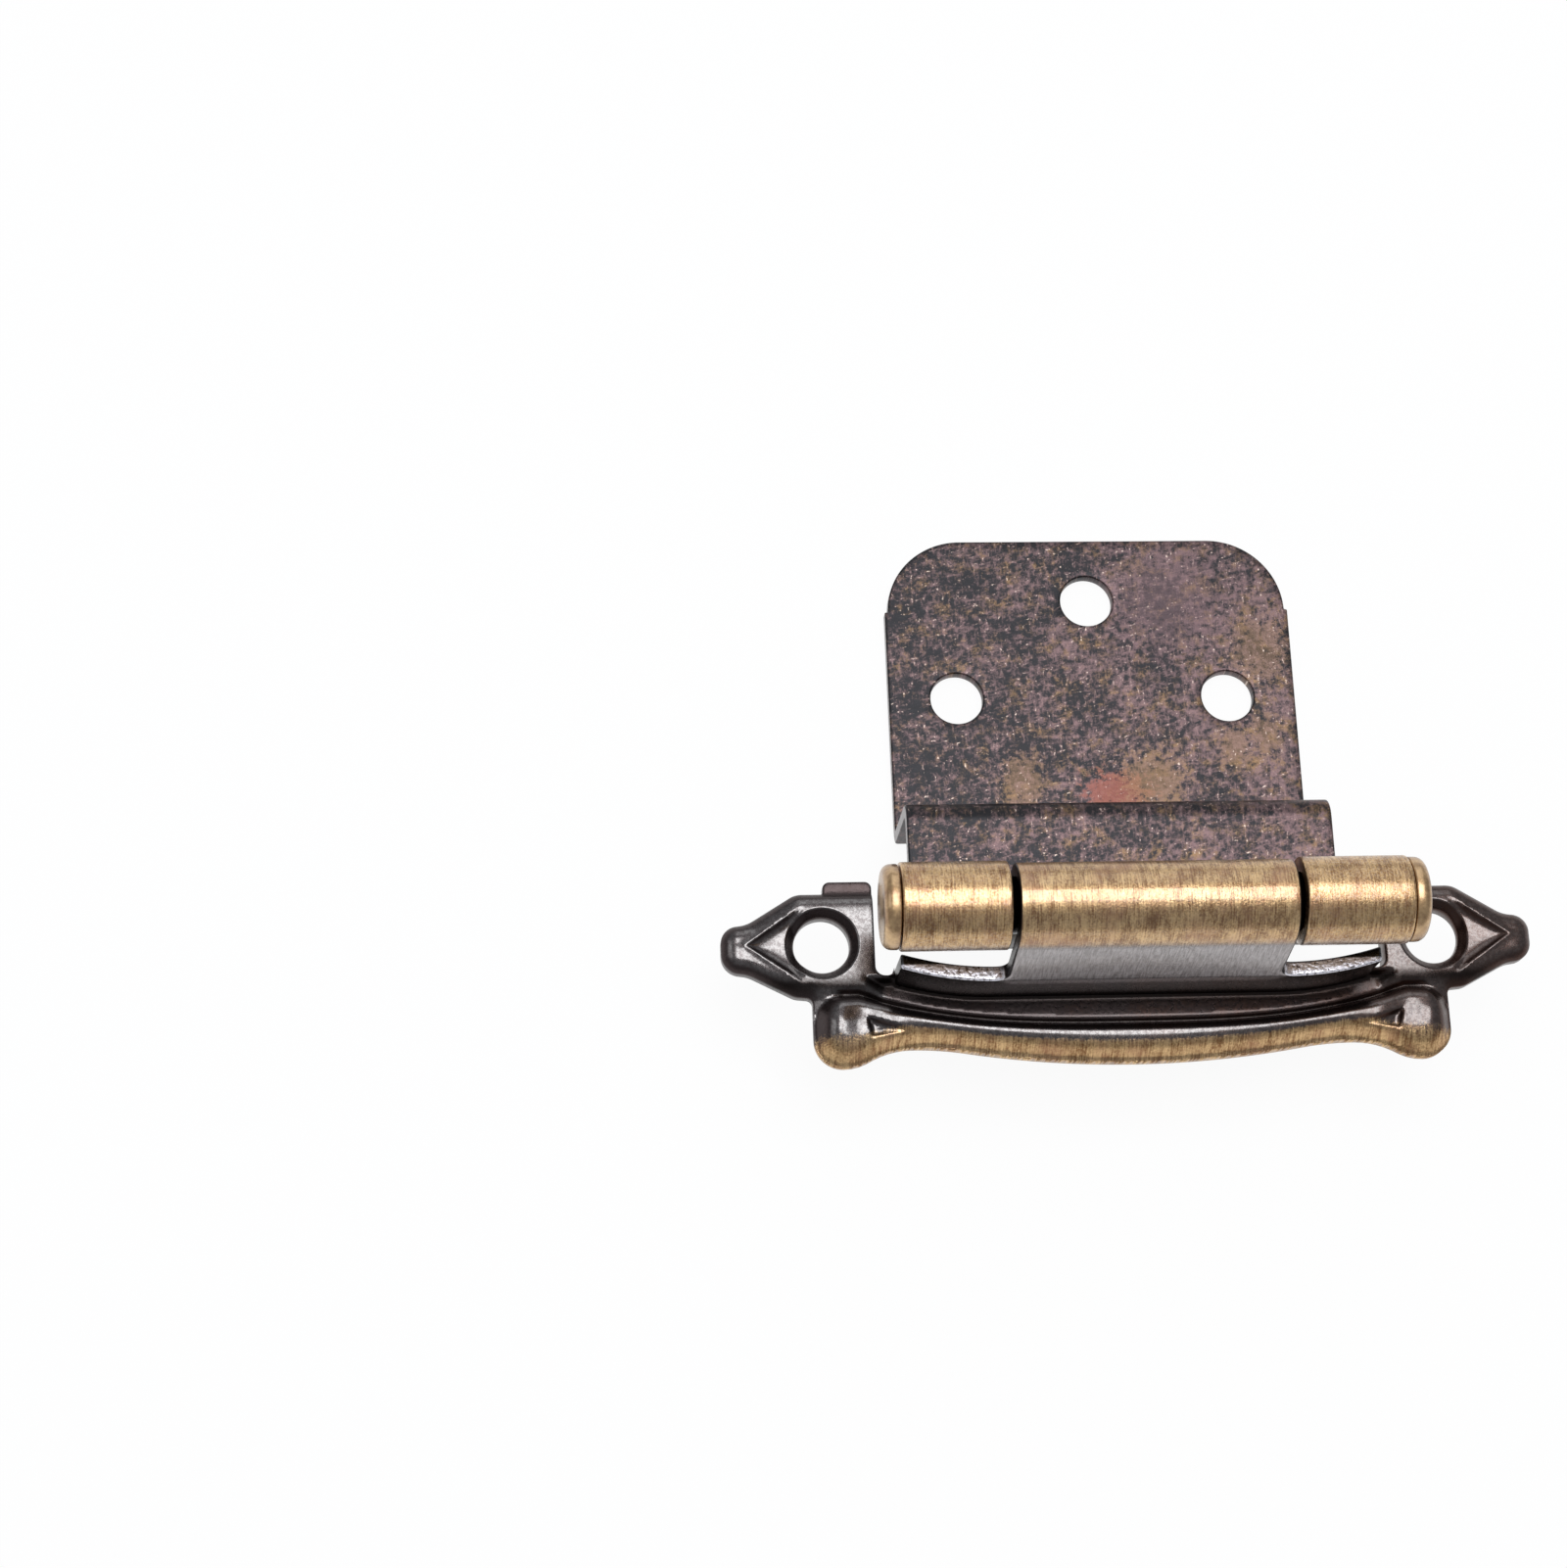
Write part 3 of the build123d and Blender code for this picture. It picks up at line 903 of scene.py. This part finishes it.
def groove_y(x):
    """The groove above the bar: flat in the middle, rising to the lobes."""
    return -bar_top + (bar_top - lobe_top) * np.clip(np.abs(x) / groove_run, 0, 1) ** 3


def bar_edge_y(x):
    """The bar's lower edge, drawn in at its two necks."""
    x = np.abs(x)
    rise = bar_bottom - neck_bottom
    inner = s_bend(x, neck_x, rise, bar_bottom_bow)
    outer = rise - s_bend(x - neck_x, lobe_x - neck_x, rise, neck_bow)
    return -bar_bottom + np.where(x < neck_x, inner, outer)


def wall_shift(x):
    """How far the wall has bowed back towards the door, outside the straight stretch below the tab."""
    start = centre_end + tab_margin
    run = wall_end - start
    radius = (run**2 + wall_bow**2) / (2 * wall_bow)
    return radius - np.sqrt(radius**2 - np.clip(np.abs(x) - start, 0, run) ** 2)


def line_corners(formula, first, last, steps=40):
    """Corners along a curved line y = formula(x)."""
    return [(float(x), float(formula(x)), 0) for x in np.linspace(first, last, steps)]


def ear_corners():
    """The right ear's end, from its shoulder round the knob at the tip to its throat."""
    return [
        (shoulder_x, ear_top, 2.0),
        (knob_x, knob_top + 0.2, 3.0),
        (tip_x, knob_top, 1.55),
        (tip_x, -knob_bottom, 1.75),
        (knob_x, -knob_bottom - 0.25, 3.0),
        (throat_x, -ear_bottom, 1.8),
    ]


def stamping_outline():
    """The front view of the frame leaf without its upright."""
    right = line_corners(lambda x: wall_shift(x) - wall_front + sheet, near_middle, wall_end - 0.4)
    right += [
        (wall_end, wall_bow - wall_front + sheet, 0.3),
        (wall_end, -notch_bottom, 0.7),
        (ear_edge, -notch_bottom, 0.8),
        (ear_edge, lug_reach, lug_rounding),
        (lug_end, lug_reach, lug_rounding),
        (lug_end, ear_top, 0.2),
    ]
    right += ear_corners() + [throat_corner, lobe_corner]
    right += line_corners(bar_edge_y, lobe_x, near_middle)
    return outline(mirrored(right))[::-1]


def bar_outline(raised=0.0):
    """The bar with its lobes; its upper line may be raised to tell only how near the lower edge is."""
    right = line_corners(lambda x: groove_y(x) + raised, near_middle, lobe_x - 0.1)
    right += [(lobe_end, raised - lobe_top, lobe_radius), lobe_corner]
    right += line_corners(bar_edge_y, lobe_x, near_middle)
    return outline(mirrored(right), 0.3)


def ear_outline():
    """The right ear with the saddle that runs under the lobe."""
    inner_x = ear_edge - 2
    saddle = [(inner_x, -saddle_bottom, 0.8), (inner_x, ear_top, 0.8)]
    return outline(saddle + ear_corners() + [throat_corner, (lobe_end, -saddle_bottom, 1.0)])


def dish_sides(x, y):
    """Distances inside the two ridges that meet behind the ear's tip."""
    sides = []
    for start, end in ((dish_top, dish_tip), (dish_tip, dish_bottom)):
        run = np.subtract(end, start) / math.dist(start, end)
        sides.append((x - start[0]) * run[1] - (y - start[1]) * run[0])
    return sides


def mark_outline():
    """The carved mark beside a lobe: wide at the lobe, pointed towards the middle."""
    return outline([(*corner, 0) for corner in (mark_top, mark_bottom, mark_tip)])


def dome(depth, width):
    """A round rise from 0 at the edge to 1 at the given depth."""
    return np.sqrt(1 - (1 - np.clip(depth / width, 0, 1)) ** 2)


def soft_max(first, second, blend):
    gap = np.clip(0.5 + (first - second) / (2 * blend), 0, 1)
    return second + (first - second) * gap + blend * gap * (1 - gap)


def bell(distance, width):
    return np.exp(-((distance / width) ** 2))


def bar_height(places, bar_depth):
    """The bar, steep at the groove and falling slowly to the lower edge, with a crown on each lobe."""
    x = np.abs(places[:, 0])
    low_depth = depth_inside(places, bar_outline(bar_raise))
    bulge = (bar_crest - bar_edge) * dome(low_depth, bar_low_width)
    bar = bar_edge + bulge * dome(bar_depth, bar_groove_width)
    from_crown = np.hypot(x - crown_place[0], places[:, 1] - crown_place[1])
    fall = crown_fall * (1 - bell(from_crown, crown_width))
    return bar - fall * smooth(x, *lobe_blend) * smooth(bar_depth, 0, 0.8)


def ear_height(x, y, ear_depth):
    """The right ear, with a saddle that falls to the valley and runs under the lobe."""
    rise = ear_edge_share * dome(ear_depth, ear_edge_width)
    rise += ear_crown_share * dome(ear_depth, ear_crown_width)
    past_wall = smooth(x, wall_end - 0.3, ear_edge + 1.2)
    rise *= np.maximum(past_wall, smooth(y, -notch_bottom - 1.2, -notch_bottom))
    rise *= 1 - saddle_fall * smooth(y, -notch_bottom - 0.4, -ear_bottom - 0.7)
    return ear_rim + (ear_crest - ear_rim) * rise


def dish_height(x, y):
    """The dish behind the ear's tip, with a ridge round it."""
    upper_side, lower_side = dish_sides(x, y)
    nearest = np.minimum(upper_side, lower_side)
    inside = 1 / (1 / np.maximum(upper_side, 1e-6) + 1 / np.maximum(lower_side, 1e-6))
    bowl = dish_depth * (1 - np.exp(-inside / dish_slope)) * (nearest > 0)
    return (ridge_height * bell(nearest, ridge_width) - bowl) * smooth(x, *dish_fade)


def stamped_height(places):
    """The front of the stamping: a round bar with lobes, a valley, and two dished ears."""
    x = np.abs(places[:, 0])
    y = places[:, 1]
    right = np.column_stack([x, y])
    groove = groove_y(x)
    foot = wall_shift(x) - wall_front
    share = np.clip((y - groove) / (foot - groove), 0, 1)
    height = sheet + valley_rise * (1 - share) * smooth(x, wall_end, wall_end - 3)
    bar_depth = depth_inside(places, bar_outline())
    with_bar = soft_max(bar_height(places, bar_depth), height - 0.1, 0.15)
    height = np.where(bar_depth > 0, with_bar, height)
    ear_depth = depth_inside(right, ear_outline())
    with_ear = soft_max(ear_height(x, y, ear_depth), height, 0.25)
    height = np.where((ear_depth > 0) & (x > wall_end - 0.3), with_ear, height)
    # Groove along the bar's upper line, curling round the lobe's top
    upper = smooth(y, (groove + bar_edge_y(x)) / 2, groove)
    height -= groove_depth * bell(bar_depth, groove_width) * upper * smooth(x, *groove_fade)
    height += dish_height(x, y)
    ring = np.hypot(x - ear_hole_x, y)
    height -= np.clip((countersink_radius - ring) * countersink_slope, 0, None)
    # Carved marks, deepest at their wide end
    mark = mark_depth * (0.3 + 0.7 * smooth(x, mark_tip[0], mark_deep_x))
    height -= mark * smooth(depth_inside(right, mark_outline()), -0.05, 0.4)
    # Round inner corner at the wall's foot
    reach = np.clip(1 - (foot - y) / wall_foot_rounding, 0, 1) * (x < wall_end)
    return height + wall_foot_rounding * (1 - np.sqrt(1 - np.clip(reach, 0, 0.999) ** 2))


def stamping_guides():
    """Lines that the mesh follows: beside the groove, the ridges, the marks and the countersinks."""
    guides = []
    near_line = (0, 0.12, -0.12, 0.26, -0.26)
    for offset in (*near_line, 0.45, -0.45):
        along = evenly(-lobe_x, lobe_x, 0.2)
        guides.append(np.column_stack([along, groove_y(along) + offset]))
    ridge_end, ridge_top, ridge_bottom = 28.6, 3.47, -3.62
    for side in (-1, 1):
        for offset in near_line:
            tip = (dish_tip[0] + 1.7 * offset, dish_tip[1], 0)
            ridge = outline([(ridge_end, ridge_top, 0), tip, (ridge_end, ridge_bottom, 0)])
            guides.append(ridge[ridge[:, 0] > ridge_end + 0.1] * (side, 1))
        for offset in (0, 0.12, 0.28):
            guides.append(set_in(mark_outline()[::-1], offset) * (side, 1))
        for radius in (countersink_radius, countersink_radius + 0.12, countersink_radius - 0.12):
            guides.append(screw_hole(side * ear_hole_x, 0, radius))
    return guides


def stamping_relief(places):
    """Brass shows on the bar's lower side and the lobes' feet, and a little on the ears' ridges."""
    x = np.abs(places[:, 0])
    y = places[:, 1]
    edge = bar_edge_y(x)
    share = (y - edge) / (groove_y(x) - edge)
    at_lobe = smooth(x, 19.0, 24.0)
    limit = 0.48 - 0.1 * at_lobe
    brass_below = limit - 0.22 - 0.15 * at_lobe
    dark_above = limit + 0.12 + 0.15 * at_lobe
    ridge = bell(np.minimum(*dish_sides(x, y)), 0.22) * smooth(x, *dish_fade)
    return 1 - smooth(share, brass_below, dark_above) + 0.25 * ridge


def stamping_painted_shade(places):
    """Painted shade in the valley at the wall's foot and along the groove."""
    x, y = places.T
    valley = bell(wall_shift(x) - wall_front - y, 0.6)
    groove = 0.85 * bell(y - groove_y(x), 0.16) * smooth(np.abs(x), 26.5, 24.5)
    return np.maximum(0.9 * valley, groove)


def stamping_polish(places, upward):
    """Lacquer shines where the stamping faces up, and less in the valley and on the lugs."""
    x, y = np.abs(places[:, 0]), places[:, 1]
    groove = groove_y(x)
    dull = smooth(y, groove - 0.1, groove + 0.2) * smooth(x, 22.4, 21.0)
    dull = np.maximum(0.8 * dull, smooth(y, ear_top - 0.7, ear_top + 0.1))
    return smooth(upward, 0.72, 0.96) * (1 - dull)


def upright_path():
    """The path of the wall, the tab that leans back to the barrel, and the centre knuckle.

    Gives its points, the length travelled at each, the end of each move and the top of the knuckle.
    """
    wall_y = half_sheet - wall_front
    tab_rise = axis_height - wall_top
    tab_reach = math.hypot(wall_y, tab_rise)
    slope = math.atan2(tab_rise, -wall_y) + math.asin(curl_radius / tab_reach)
    lean = math.degrees(math.pi / 2 - slope)
    bend_length = tab_bend * math.tan(math.radians(lean) / 2)
    tab_length = math.sqrt(tab_reach**2 - curl_radius**2)
    moves = [
        (wall_top - wall_foot - bend_length, 0),
        (tab_bend, -lean),
        (tab_length - bend_length, 0),
        (curl_radius, lean - 270 - cam_overlap),
    ]
    path, travelled, ends = bent_path((wall_y, wall_foot), 90, moves)
    return path, travelled, ends, ends[2] + curl_radius * math.radians(90 - lean)


def make_upright(tree, finish):
    """The upright, rolled from its own blank into the centre knuckle with the cam's taper.

    Gives its points, its faces, their places on the flat sheet and what each point shows.
    """
    path, travelled, ends, knuckle_top = upright_path()
    shelf = wall_top - wall_foot
    corners = [
        (centre_end, ends[-1], 0.25),
        (centre_end, shelf, tab_foot_corner),
        (wall_end, shelf, 0.3),
        (wall_end, 0, 0.3),
    ]
    blank = Blank([outline(mirrored(corners))[::-1]], evenly(-wall_end, wall_end, 0.4),
                  np.unique(np.concatenate([travelled, evenly(0, ends[-1], 0.4)]).round(3)))
    past_top = (blank.places[:, 1] - knuckle_top) / (curl_radius * math.pi)
    taper = cam_lift * np.clip(past_top, 0, 2)
    fall = blank.edge_fall()
    flat, faces = blank.solid(half_sheet - fall - taper, fall - half_sheet)
    rolled = piece("upright", flat, faces)
    rolled = fold(rolled, tree, [(0, *point) for point in path], (1, 0, 0), finish)
    points = points_of(rolled)
    bpy.data.objects.remove(rolled)
    points[:, 1] += wall_shift(points[:, 0])

    # Brass on the knuckle, a painted grey reflection on the tab, painted shade below it and on the cut
    # sides, a sheared top on the wall
    aside = np.abs(flat[:, 0])
    along = flat[:, 1]
    knuckle = smooth(along, ends[2] - 2.6, ends[2] + 1.4)
    below_tab = along + 1.3 * smooth(aside, centre_end + 1.0, centre_end - 0.6)
    film = smooth(below_tab, shelf - 0.5, shelf + 0.5) * (1 - knuckle)
    cut = both_faces(blank.depths < 0.12)
    on_shelf = (along > shelf - 0.2) * (aside > centre_end + 0.3)
    shade = np.maximum(0.85 * smooth(below_tab, shelf + 0.8, shelf - 0.5), cut * (1 - on_shelf))
    shown = {"relief": knuckle, "film": film, "sheared": cut * on_shelf, "shade": shade}
    return points, faces, flat[:, :2], shown


def make_frame_leaf(tree, finish):
    """The stamping with its ears and bar, and the upright that is rolled into the centre knuckle."""
    loops = [stamping_outline()] + [screw_hole(side * ear_hole_x, 0, hole_radius) for side in (-1, 1)]
    blank = Blank(loops, evenly(-tip_x, tip_x, stamp_step), evenly(-bar_bottom, lug_reach, stamp_step),
                  guides=stamping_guides())
    front = stamped_height(blank.places) - blank.edge_fall()
    hollow = smooth(depth_inside(blank.places, bar_outline()), 0.7, 1.6)
    back = hollow * np.clip(front - 1.5 * sheet, 0, None) + 0.5 * blank.edge_fall()
    points, faces = blank.solid(front, back)
    stamped = both_faces(blank.places)
    upright, upright_faces, upright_places, upright_shown = make_upright(tree, finish)

    # The upright's strokes start well past the stamping's, so that none is seen twice
    count = len(stamped)
    places = np.concatenate([stamped, upright_places + (0, 20)])
    bare = np.zeros(count)
    shown = {"relief": stamping_relief(stamped), "film": bare, "sheared": bare,
             "shade": stamping_painted_shade(stamped)}
    attributes = [("sheet_place", on_sheet(places))]
    attributes += [(label, np.concatenate([shown[label], upright_shown[label]])) for label in shown]
    points = np.concatenate([points, upright])
    faces += [tuple(number + count for number in face) for face in upright_faces]
    leaf = piece("frame_leaf_stamping", points, faces, attributes)
    leaf.data.materials.append(finish)
    normals = np.empty(3 * len(points))
    leaf.data.vertex_normals.foreach_get("vector", normals)
    polish = np.full(len(points), upright_polish)
    polish[:count] = stamping_polish(stamped, normals[2::3][:count])
    hold(leaf.data, "level", polish)
    return leaf


# Pin, follower and spring
def turned(name, profile, finish, segments=96):
    """A piece turned about the barrel's axis, from a profile (x, radius) that starts and ends there."""
    angles = 2 * math.pi * np.arange(segments) / segments
    points = [(profile[0][0], 0, axis_height)]
    for x, radius in profile[1:-1]:
        points += [(x, radius * math.cos(a), axis_height + radius * math.sin(a)) for a in angles]
    points.append((profile[-1][0], 0, axis_height))
    rings = len(profile) - 2
    faces = []
    for k in range(segments):
        following = (k + 1) % segments
        faces.append((0, 1 + following, 1 + k))
        for ring in range(rings - 1):
            first, second = 1 + ring * segments, 1 + (ring + 1) * segments
            faces.append((first + k, first + following, second + following, second + k))
        last = 1 + (rings - 1) * segments
        faces.append((last + k, last + following, len(points) - 1))
    made = piece(name, points, faces)
    fresh = bmesh.new()
    fresh.from_mesh(made.data)
    bmesh.ops.recalc_face_normals(fresh, faces=fresh.faces)
    fresh.to_mesh(made.data)
    fresh.free()
    made.data.materials.append(finish)
    return made


def head_profile(end, face, radius):
    """A rounded head from its outer end to the face beside the knuckle."""
    way = math.copysign(1, end - face)
    rounding = 0.8
    bulge = 0.15
    profile = [(end, 0), (end - way * 0.02, radius * 0.35)]
    for angle in range(0, 91, 15):
        turn = math.radians(angle)
        profile.append((end - way * (bulge + rounding * (1 - math.cos(turn))),
                        radius - rounding + rounding * math.sin(turn)))
    profile += [(face + way * 0.15, radius), (face + way * 0.04, radius - 0.05), (face, radius - 0.18)]
    return profile


def make_pin(finish):
    head_radius = (head_high.z - head_low.z) / 2
    pin_radius = bore_radius - 0.05
    face = -(barrel_end + head_gap)
    profile = head_profile(head_low.x, face, head_radius)
    profile += [(face, pin_radius), (-face, pin_radius)]
    profile += [(-face, tenon_radius), (head_high.x, tenon_radius), (head_high.x, 0)]
    return turned("hinge_pin_turned", profile, finish)


def make_cap(finish):
    cap_radius = (cap_high.z - cap_low.z) / 2
    face = cap_low.x
    profile = head_profile(cap_high.x, face, cap_radius)
    bore, floor = 1.55, face + 1.02
    profile += [(face, bore), (floor, bore), (floor, 0)]
    return turned("pin_cap_turned", profile, finish)


def make_follower(finish):
    """The moulded block: a plan with slanted front corners, all edges softened."""
    face_half = 10.65
    draft = 0.65
    rounding = 0.3
    end = block_high.x
    front = block_high.y
    slant_y = front - (end - face_half)
    plan = [(-end, block_low.y), (end, block_low.y), (end, slant_y),
            (face_half, front), (-face_half, front), (-end, slant_y)]
    drafted = [(x, max(y, block_low.y + draft)) for x, y in plan]
    build = bmesh.new()
    floor = [build.verts.new((x * MM, y * MM, block_low.z * MM)) for x, y in drafted]
    roof = [build.verts.new((x * MM, y * MM, block_high.z * MM)) for x, y in plan]
    build.faces.new(floor[::-1])
    build.faces.new(roof)
    for k in range(len(plan)):
        following = (k + 1) % len(plan)
        build.faces.new((floor[k], floor[following], roof[following], roof[k]))
    bmesh.ops.bevel(build, geom=build.edges[:], offset=rounding * MM, segments=3, profile=0.5,
                    affect="EDGES")
    bmesh.ops.recalc_face_normals(build, faces=build.faces)
    mesh = bpy.data.meshes.new("follower_block")
    build.to_mesh(mesh)
    build.free()
    mesh.shade_smooth()
    mesh.materials.append(finish)
    return placed("follower_block", mesh)


def make_spring(tree, finish):
    """A strip cut flat and bowed up to the follower."""
    thickness = 0.45
    edge = 0.1
    half_width = (strip_high.y - strip_low.y) / 2
    half_length = (strip_high.x - strip_low.x) / 2 - 0.1
    rise = strip_high.z - strip_low.z - thickness
    radius = (half_length**2 + rise**2) / (2 * rise)
    turn = math.degrees(2 * math.asin(half_length / radius))
    start = (-half_length, strip_low.z + thickness / 2)
    path, _, ends = bent_path(start, turn / 2, [(radius, -turn)])
    corners = [(half_width, ends[-1], 0.3), (half_width, 0, 0.3)]
    blank = Blank([outline(mirrored(corners))[::-1]], evenly(-half_width, half_width, 0.3),
                  evenly(0, ends[-1], 0.6), edge)
    height = thickness / 2 - blank.edge_fall(edge)
    flat, faces = blank.solid(height, -height)
    strip = piece("spring_strip", flat, faces, [("sheet_place", on_sheet(both_faces(blank.places)))])
    middle = (strip_low.y + strip_high.y) / 2
    return fold(strip, tree, [(x, middle, z) for x, z in path], (0, 1, 0), finish)


# Stage
def make_table():
    """A white table that keeps the hinge's shadow and shows white in the metal."""
    reach = 12
    whiteness = 0.94
    material, shader, start = new_finish("white_table")
    tree = material.node_tree
    plug(shader, Base_Color=TABLE_WHITE, Roughness=0.9, Specular_IOR_Level=0.0)
    camera_ray, glossy_ray, clear_ray = (
        start.node("ShaderNodeLightPath", output=f"Is {kind} Ray")
        for kind in ("Camera", "Glossy", "Transmission"))
    seen = start.math("MINIMUM", camera_ray * whiteness + glossy_ray + clear_ray, 1.0)
    glow = start.node("ShaderNodeEmission", {}, {"Color": LAMP_WHITE, "Strength": 1.0})
    mixed = start.node("ShaderNodeMixShader", {}, {0: seen, 1: Value(tree, shader.outputs[0]), 2: glow})
    tree.links.new(mixed.socket, tree.nodes["Material Output"].inputs["Surface"])
    build = bmesh.new()
    bmesh.ops.create_grid(build, x_segments=1, y_segments=1, size=reach,
                          matrix=Matrix.Translation((0, 0, plate_back * MM)))
    mesh = bpy.data.meshes.new("table")
    build.to_mesh(mesh)
    build.free()
    mesh.materials.append(material)
    table = placed("table", mesh)


def make_lights():
    """A pale sky, a large lamp overhead and two weaker ones."""
    world = bpy.data.worlds.new("studio")
    world.use_nodes = True
    sky = world.node_tree.nodes["Background"].inputs
    sky["Color"].default_value = SKY_WHITE
    sky["Strength"].default_value = 0.34
    bpy.context.scene.world = world
    # Each lamp: name, direction from the hinge, distance, width and how bright its face is
    lamps = [
        ("overhead_lamp", (0.03, 0.15, 0.985), 0.55, 0.37, 4.7),
        ("back_lamp", (0.1, 0.85, 0.5), 0.6, 0.4, 0.8),
        ("window_lamp", (-0.8, 0.1, 0.6), 0.6, 0.3, 1.0),
    ]
    for label, direction, distance, width, brightness in lamps:
        light = bpy.data.lights.new(label, "AREA")
        light.shape = "SQUARE"
        light.size = width
        light.energy = brightness * math.pi * width**2
        lamp = placed(label, light)
        lamp.location = Vector(direction).normalized() * distance
        lamp.rotation_euler = (-lamp.location).to_track_quat("-Z", "Y").to_euler()
        lamp.visible_camera = False


def make_camera():
    """The camera, from its place in millimetres and the ways that it looks and keeps level."""
    place = Vector((-50.568, -70.508, 268.112))
    forward = Vector((0.07385, 0.30369, -0.94991)).normalized()
    right = Vector((0.9972, -0.03404, 0.06665))
    right = (right - forward * right.dot(forward)).normalized()
    turned_frame = Matrix((right, right.cross(forward), -forward)).transposed()
    camera = bpy.data.cameras.new("camera")
    camera.lens = 73.05
    camera.sensor_width = 36
    camera.clip_start = 0.01
    viewer = placed("camera", camera)
    viewer.matrix_world = Matrix.Translation(place * MM) @ turned_frame.to_4x4()
    bpy.context.scene.camera = viewer


bpy.context.scene.view_settings.view_transform = "Standard"
fold_tree = folding_tree()
pin_brass = pin_finish()
dressed = [
    (make_frame_leaf(fold_tree, frame_leaf_finish()), "frame", "frame_leaf", "antique_brass_leaf"),
    (make_door_leaf(fold_tree, door_leaf_finish()), "door", "door_leaf", "bronzed_steel_leaf"),
    (make_pin(pin_brass), "door", "hinge_pin", "antique_brass_pin"),
    (make_cap(pin_brass), "door", "pin_cap", "antique_brass_pin"),
    (make_follower(follower_finish()), "follower", "follower", "moulded_follower"),
    (make_spring(fold_tree, spring_finish()), "door", "leaf_spring", "spring_steel"),
]
for made, body, node, slot in dressed:
    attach(made, body)
    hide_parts(node)
    if node == "leaf_spring":
        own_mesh(made)
make_table()
make_lights()
make_camera()
